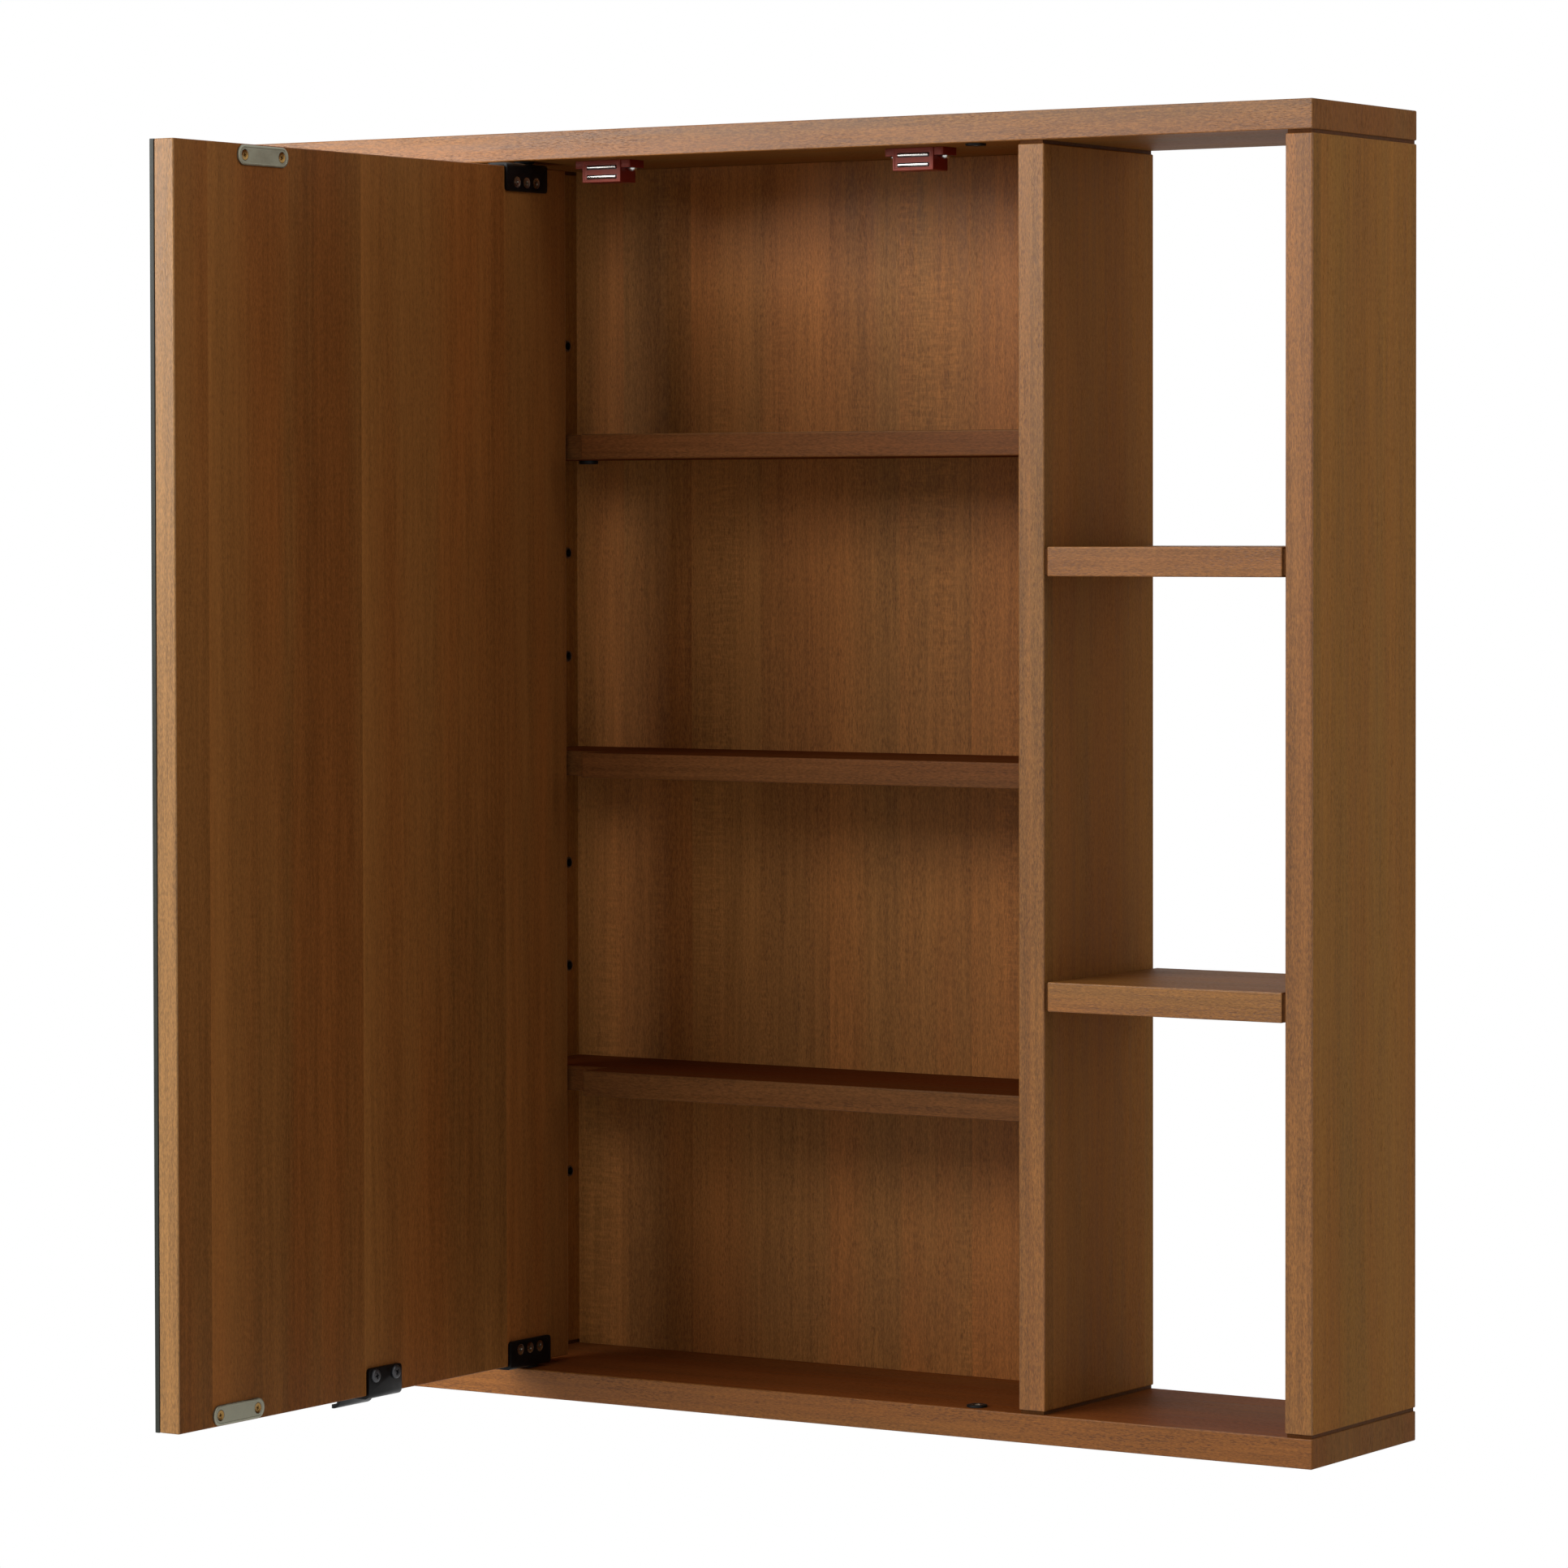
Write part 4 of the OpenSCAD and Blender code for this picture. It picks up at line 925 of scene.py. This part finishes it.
screwPlaces = makeStrike("top_strike_plate", "topStrike") + makeStrike("bottom_strike_plate", "bottomStrike")
placeScrews(strikeShape["screw"], "strikeScrewSet", screwPlaces, "door", "brass", "strike_screws",
            hard["brass"])
print("strike plates made")


# magnetic catches: a slotted body with two ears, and two pole plates in its slots

catchShape = {
    "bodyWidth": 27.5 * mm, "bodyDepth": 16.4 * mm, "edge": 0.35 * mm, "edgeSteps": 3, "rim": 1.1 * mm,
    "rimSlope": 0.25 * mm, "hollow": 0.45 * mm, "earThick": 4.7 * mm, "earBack": 0.8 * mm,
    "earCorner": 1.5 * mm, "earCornerSteps": 5, "lap": 0.5 * mm, "slotWidth": 21.6 * mm,
    "slotHeight": 2.5 * mm, "slotDepth": 9 * mm, "poleDown": (4.3 * mm, 10 * mm), "poleWidth": 20.6 * mm,
    "poleThick": 1.4 * mm, "poleEdge": 0.25 * mm, "screwAcross": 16.875 * mm, "slotTurns": (5, 45),
    "frontTilt": 0.5,
    "screw": {"radius": 2.9 * mm, "height": 1.6 * mm, "shank": 1.5 * mm, "length": 12 * mm, "raised": True},
}
poleLow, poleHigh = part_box("catch_poles")


def makeCatch(node, name):
    shape = catchShape
    low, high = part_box(node)
    middle = (low + high) / 2
    halfBody = shape["bodyWidth"] / 2
    halfGap = halfBody - shape["lap"]
    bodyBack = low.y + shape["bodyDepth"]

    def addLevel(name, down, width, thick, front, back):  # a flat block, this far below the catch's top
        return addBlock(name, (middle.x - width / 2, front, high.z - down - thick / 2),
                        (middle.x + width / 2, back, high.z - down + thick / 2))

    body = addBlock(name, (middle.x - halfBody, low.y, low.z), (middle.x + halfBody, bodyBack, high.z))
    hollowFace(body, lambda place, normal: normal.y < -axial, shape["rim"], shape["rimSlope"],
               shape["hollow"])
    easeEdges(body, shape["edge"], shape["edgeSteps"])
    ears = addBlock(name + "Ears", (low.x, low.y + shape["earBack"], high.z - shape["earThick"]), high)
    roundEdges(ears, lambda place, along: abs(along.z) > axial, shape["earCorner"], shape["earCornerSteps"])
    easeEdges(ears, shape["edge"])
    carve(ears, [addBlock("gap", (middle.x - halfGap, low.y - past, low.z - past),
                          (middle.x + halfGap, bodyBack - shape["lap"], high.z - shape["lap"]))])
    carve(body, [addLevel("slot", down, shape["slotWidth"], shape["slotHeight"], low.y - past,
                          low.y + shape["slotDepth"]) for down in shape["poleDown"]])
    housing = joined([body, ears], name)
    paint(housing, hard["catchPlastic"], hard["magnetBlackAndSlotShade"], hard["catchFrontPaintedLight"])
    # faces looking forward take the lighter plastic: painted light
    paintFaces(housing, 2, lambda place, normal: normal.y < -shape["frontTilt"])
    # the slots' plastic insides take the magnets' black: painted shade
    paintFaces(housing, 1, lambda place, normal: abs(place.x - middle.x) < shape["slotWidth"] / 2 + near
               and low.y + past < place.y < low.y + shape["slotDepth"] + near
               and low.z + past < place.z < high.z - 2 * past)  # inside the slots
    fit(smoothed(housing), "cabinet", "catch_plastic", node)
    poles = [addLevel("pole", down, shape["poleWidth"], shape["poleThick"], poleLow.y, poleHigh.y)
             for down in shape["poleDown"]]
    for pole in poles:
        easeEdges(pole, shape["poleEdge"])
    earFloor = high.z - shape["earThick"]
    return poles, [("z", -1, turn, (middle.x + side * shape["screwAcross"], middle.y, earFloor))
                   for side, turn in zip((-1, 1), shape["slotTurns"])]


leftPoles, leftScrews = makeCatch("left_catch_housing", "leftCatch")
rightPoles, rightScrews = makeCatch("right_catch_housing", "rightCatch")
fitSet(leftPoles + rightPoles, "catchPoleSet", hard["brightSteel"], "cabinet", "bright_steel", "catch_poles")
placeScrews(catchShape["screw"], "catchScrewSet", leftScrews + rightScrews, "cabinet", "bright_steel",
            "catch_screws", hard["brightSteel"])
print("catches made")


# pivot bushings with steel liners

def makeFlanged(name, place, axis, way, shape):  # a plug that goes into a board, with a flange on its surface
    index = "xyz".index(axis)
    plug = addRod(name, place, shape["body"], way * shape["length"], axis, shape["sides"])
    pick(plug, "FACE", lambda middle, normal: normal[index] * way < -axial)
    extrude((0, 0, 0))
    ratio = shape["flange"] / shape["body"]
    bpy.ops.transform.resize(value=[1 if i == index else ratio for i in range(3)])
    extrude(alongAxis(index, -way * shape["flangeThick"]))
    backToObject()
    top = place[index] - way * shape["flangeThick"]
    roundEdges(plug, lambda middle, along: same(middle[index], top), shape["rim"])
    return plug


def makeBushing(surface, way):  # at the right, at the floor or upside down at the ceiling
    shape = bushingShape
    bushing = makeFlanged("bushing", (pivotX, pivotY, surface), "z", -way, shape)
    top = surface + way * shape["flangeThick"]
    depth = shape["flangeThick"] + shape["length"] - shape["floor"]
    above = (pivotX, pivotY, top + way * past)
    carve(bushing, [addRod("bore", above, shape["linerOuter"] + shape["linerGap"], -way * (depth + past), "z",
                           shape["sides"])])
    liner = addRod("liner", (pivotX, pivotY, top - way * shape["linerSunk"]), shape["linerOuter"],
                   -way * (depth - shape["linerSunk"]), "z", shape["sides"])
    carve(liner, [addRod("bore", above, shape["bore"], -way * shape["boreLength"], "z", shape["sides"])])
    easeEdges(liner, shape["linerEdge"])
    return bushing, liner


acrossCabinet = Matrix.Scale(-1, 4, (1, 0, 0))
bushings, liners = [], []
for surface, way in ((floorZ, 1), (ceilingZ, -1)):
    bushing, liner = makeBushing(surface, way)
    bushings += [bushing, copied(bushing, acrossCabinet)]
    liners += [liner, copied(liner, acrossCabinet)]
fitSet(bushings, "bushingSet", hard["blackPlastic"], "cabinet", "black_plastic", "pivot_bushings")
fitSet(liners, "linerSet", hard["sleeveSteelAndSinkShade"], "cabinet", "bright_steel", "pivot_liners")


# sleeves of the support holes

firstDepth, firstHeight = holeDepths[0], holeHeights[0]
firstSleeve = makeFlanged("sleeve", (dividerInner, firstDepth, firstHeight), "x", 1, sleeveShape)
carve(firstSleeve, [addRod("bore", (dividerInner - 2 * past, firstDepth, firstHeight), sleeveShape["bore"],
                           sleeveShape["boreLength"], "x", sleeveShape["sides"])])
sleeves = []
for height in holeHeights:
    for depth in holeDepths:
        shift = Matrix.Translation((0, depth - firstDepth, height - firstHeight))
        sleeves += [copied(firstSleeve, shift), copied(firstSleeve, acrossCabinet @ shift)]
bpy.data.objects.remove(firstSleeve)
fitSet(sleeves, "sleeveSet", hard["sleeveSteelAndSinkShade"], "cabinet", "bright_steel", "pin_sleeves")


# shelf supports: housings under the shelves, each with its clamping screw

supportShape = {
    "radius": 6 * mm, "height": 13 * mm, "edge": 0.6 * mm, "sides": 36, "seatGap": 0.15 * mm,
    "seatDepth": 3 * mm, "seatSides": 28, "screwUp": 1.3 * mm, "slotTurn": 30,
    "screw": {"radius": 1.9 * mm, "height": 1.2 * mm, "shank": 1.2 * mm, "length": 2 * mm, "raised": True},
}


def makeSupport(name):  # the lowest front one at the right
    shape = supportShape
    low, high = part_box("shelf_housings")
    place = Vector((high.x - shape["radius"], firstDepth, low.z))
    housing = addRod(name, place, shape["radius"], shape["height"], "z", shape["sides"])
    roundEdges(housing, lambda middle, along: middle.z < low.z + near, shape["edge"])
    seatRadius = shape["screw"]["radius"] + shape["seatGap"]
    carve(housing, [addRod("screwSeat", place - Vector((0, 0, past)), seatRadius, shape["seatDepth"] + past,
                           "z", shape["seatSides"])])
    screw = makeScrew(name + "Screw", shape["screw"])
    screw.data.transform(turned("z", -1, shape["slotTurn"], place + Vector((0, 0, shape["screwUp"]))))
    return housing, screw


shelfLevels = [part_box("centre_" + level + "_shelf")[0].z for level in ("lower", "middle", "upper")]
firstSupport = makeSupport("support")
supports = ([], [])
for level in shelfLevels:
    for depth in holeDepths:
        shift = Matrix.Translation((0, depth - firstDepth, level - shelfLevels[0]))
        for side in (Matrix.Identity(4), acrossCabinet):
            for copies, piece in zip(supports, firstSupport):
                copies.append(copied(piece, side @ shift))
for piece in firstSupport:
    bpy.data.objects.remove(piece)
fitSet(supports[0], "supportHousingSet", hard["blackPlastic"], "cabinet", "black_plastic", "shelf_housings")
fitSet(supports[1], "clampScrewSet", hard["brightSteel"], "cabinet", "bright_steel", "housing_screws",
       screwForm["smooth"])
print("shelf supports made")


# camera, lamps and floor

view = {"place": (1.9323, -3.0880, -0.1518), "turn": (88.4533, 0.0996, 32.4632), "lens": 137.951,
        "sensor": 36, "shift": (-0.01472, -0.06396), "reach": 100}
bpy.ops.object.camera_add(location=view["place"], rotation=[math.radians(angle) for angle in view["turn"]])
camera = bpy.context.object
camera.data.lens = view["lens"]
camera.data.sensor_width = view["sensor"]
camera.data.shift_x, camera.data.shift_y = view["shift"]
camera.data.clip_end = view["reach"]
bpy.context.scene.camera = camera

lamps = {
    "keyLamp": {"place": (-0.8, -2.55, 1.0), "aim": (0, -0.1, -0.2), "size": 1.1, "power": 27.5},
    "sheenLamp": {"place": (-1.7, -1.8, 0.55), "aim": (-0.3, -0.2, 0.1), "size": 1.2, "power": 27},
    "rearLamp": {"place": (2.8, 1.2, 0.1), "aim": (0, -0.1, -0.1), "size": 1.8, "power": 8},
    "rightLamp": {"place": (2.3, -0.2, 1.4), "aim": (0, -0.1, 0.1), "size": 1.0, "power": 9.5},
    "leftLamp": {"place": (-2.4, -1.6, -0.2), "aim": (0, -0.1, -0.3), "size": 1.6, "power": 2},
}
for name, lamp in lamps.items():
    place = Vector(lamp["place"])
    turn = (place - Vector(lamp["aim"])).to_track_quat("Z", "Y").to_euler()
    bpy.ops.object.light_add(type="AREA", location=place, rotation=turn)
    light = named(bpy.context.object, name)
    light.data.size = lamp["size"]
    light.data.energy = lamp["power"]


def seenByLens(tree):  # 1 for camera, mirror and glass rays, 0 for light on the object
    path = addNode(tree, "ShaderNodeLightPath").outputs
    seen = calc(tree, "MAXIMUM", path["Is Camera Ray"], path["Is Glossy Ray"])
    return calc(tree, "MAXIMUM", seen, path["Is Transmission Ray"])


def mixShader(tree, factor, first, second):
    return addNode(tree, "ShaderNodeMixShader", {0: factor, 1: first.outputs[0], 2: second.outputs[0]})


studio = {"ambient": 0.2, "backdrop": 1.0, "floorColour": (0.8, 0.8, 0.8, 1), "floorRoughness": 0.9,
          "floorDrop": 1.0, "floorSize": 60}
white = (1, 1, 1, 1)
world = bpy.data.worlds.new("studio")
bpy.context.scene.world = world
world.use_nodes = True
tree = world.node_tree
ambient = tree.nodes["Background"]
ambient.inputs["Color"].default_value = white
ambient.inputs["Strength"].default_value = studio["ambient"]
backdrop = addNode(tree, "ShaderNodeBackground", {"Color": white, "Strength": studio["backdrop"]})
blend = mixShader(tree, seenByLens(tree), ambient, backdrop)
tree.links.new(blend.outputs[0], tree.nodes["World Output"].inputs["Surface"])

deselect()
bpy.ops.mesh.primitive_plane_add(size=studio["floorSize"], location=(0, 0, cadBox[0].z - studio["floorDrop"]))
floor = settle(named(bpy.context.object, "floor"))
floorMaterial, tree, shader = newMaterial("paleFloor", **{"Roughness": studio["floorRoughness"],
                                                          "Base Color": studio["floorColour"]})
glow = addNode(tree, "ShaderNodeEmission", {"Color": white, "Strength": studio["backdrop"]})
blend = mixShader(tree, seenByLens(tree), shader, glow)
under = addNode(tree, "ShaderNodeNewGeometry").outputs["Backfacing"]  # clear to a camera below it
oneSided = mixShader(tree, under, blend, addNode(tree, "ShaderNodeBsdfTransparent"))
tree.links.new(oneSided.outputs[0], tree.nodes["Material Output"].inputs["Surface"])
paint(floor, floorMaterial)

bpy.context.scene.view_settings.view_transform = "Standard"
print("stage made")


# CAD parts that keep their own shape

keptNodes = {"shelf_pins": hard["brightSteel"], "catch_magnets": hard["magnetBlackAndSlotShade"],
             "mirror_adhesive": hard["bondFilm"]}
for node in ("hanging_rail", "wall_cleat", "case_dowels", "bay_shelf_dowels"):
    keptNodes[node] = wood["planedWood"]
for node, material in keptNodes.items():
    paint(frame["nodes"][node], material)

print("scene ready")
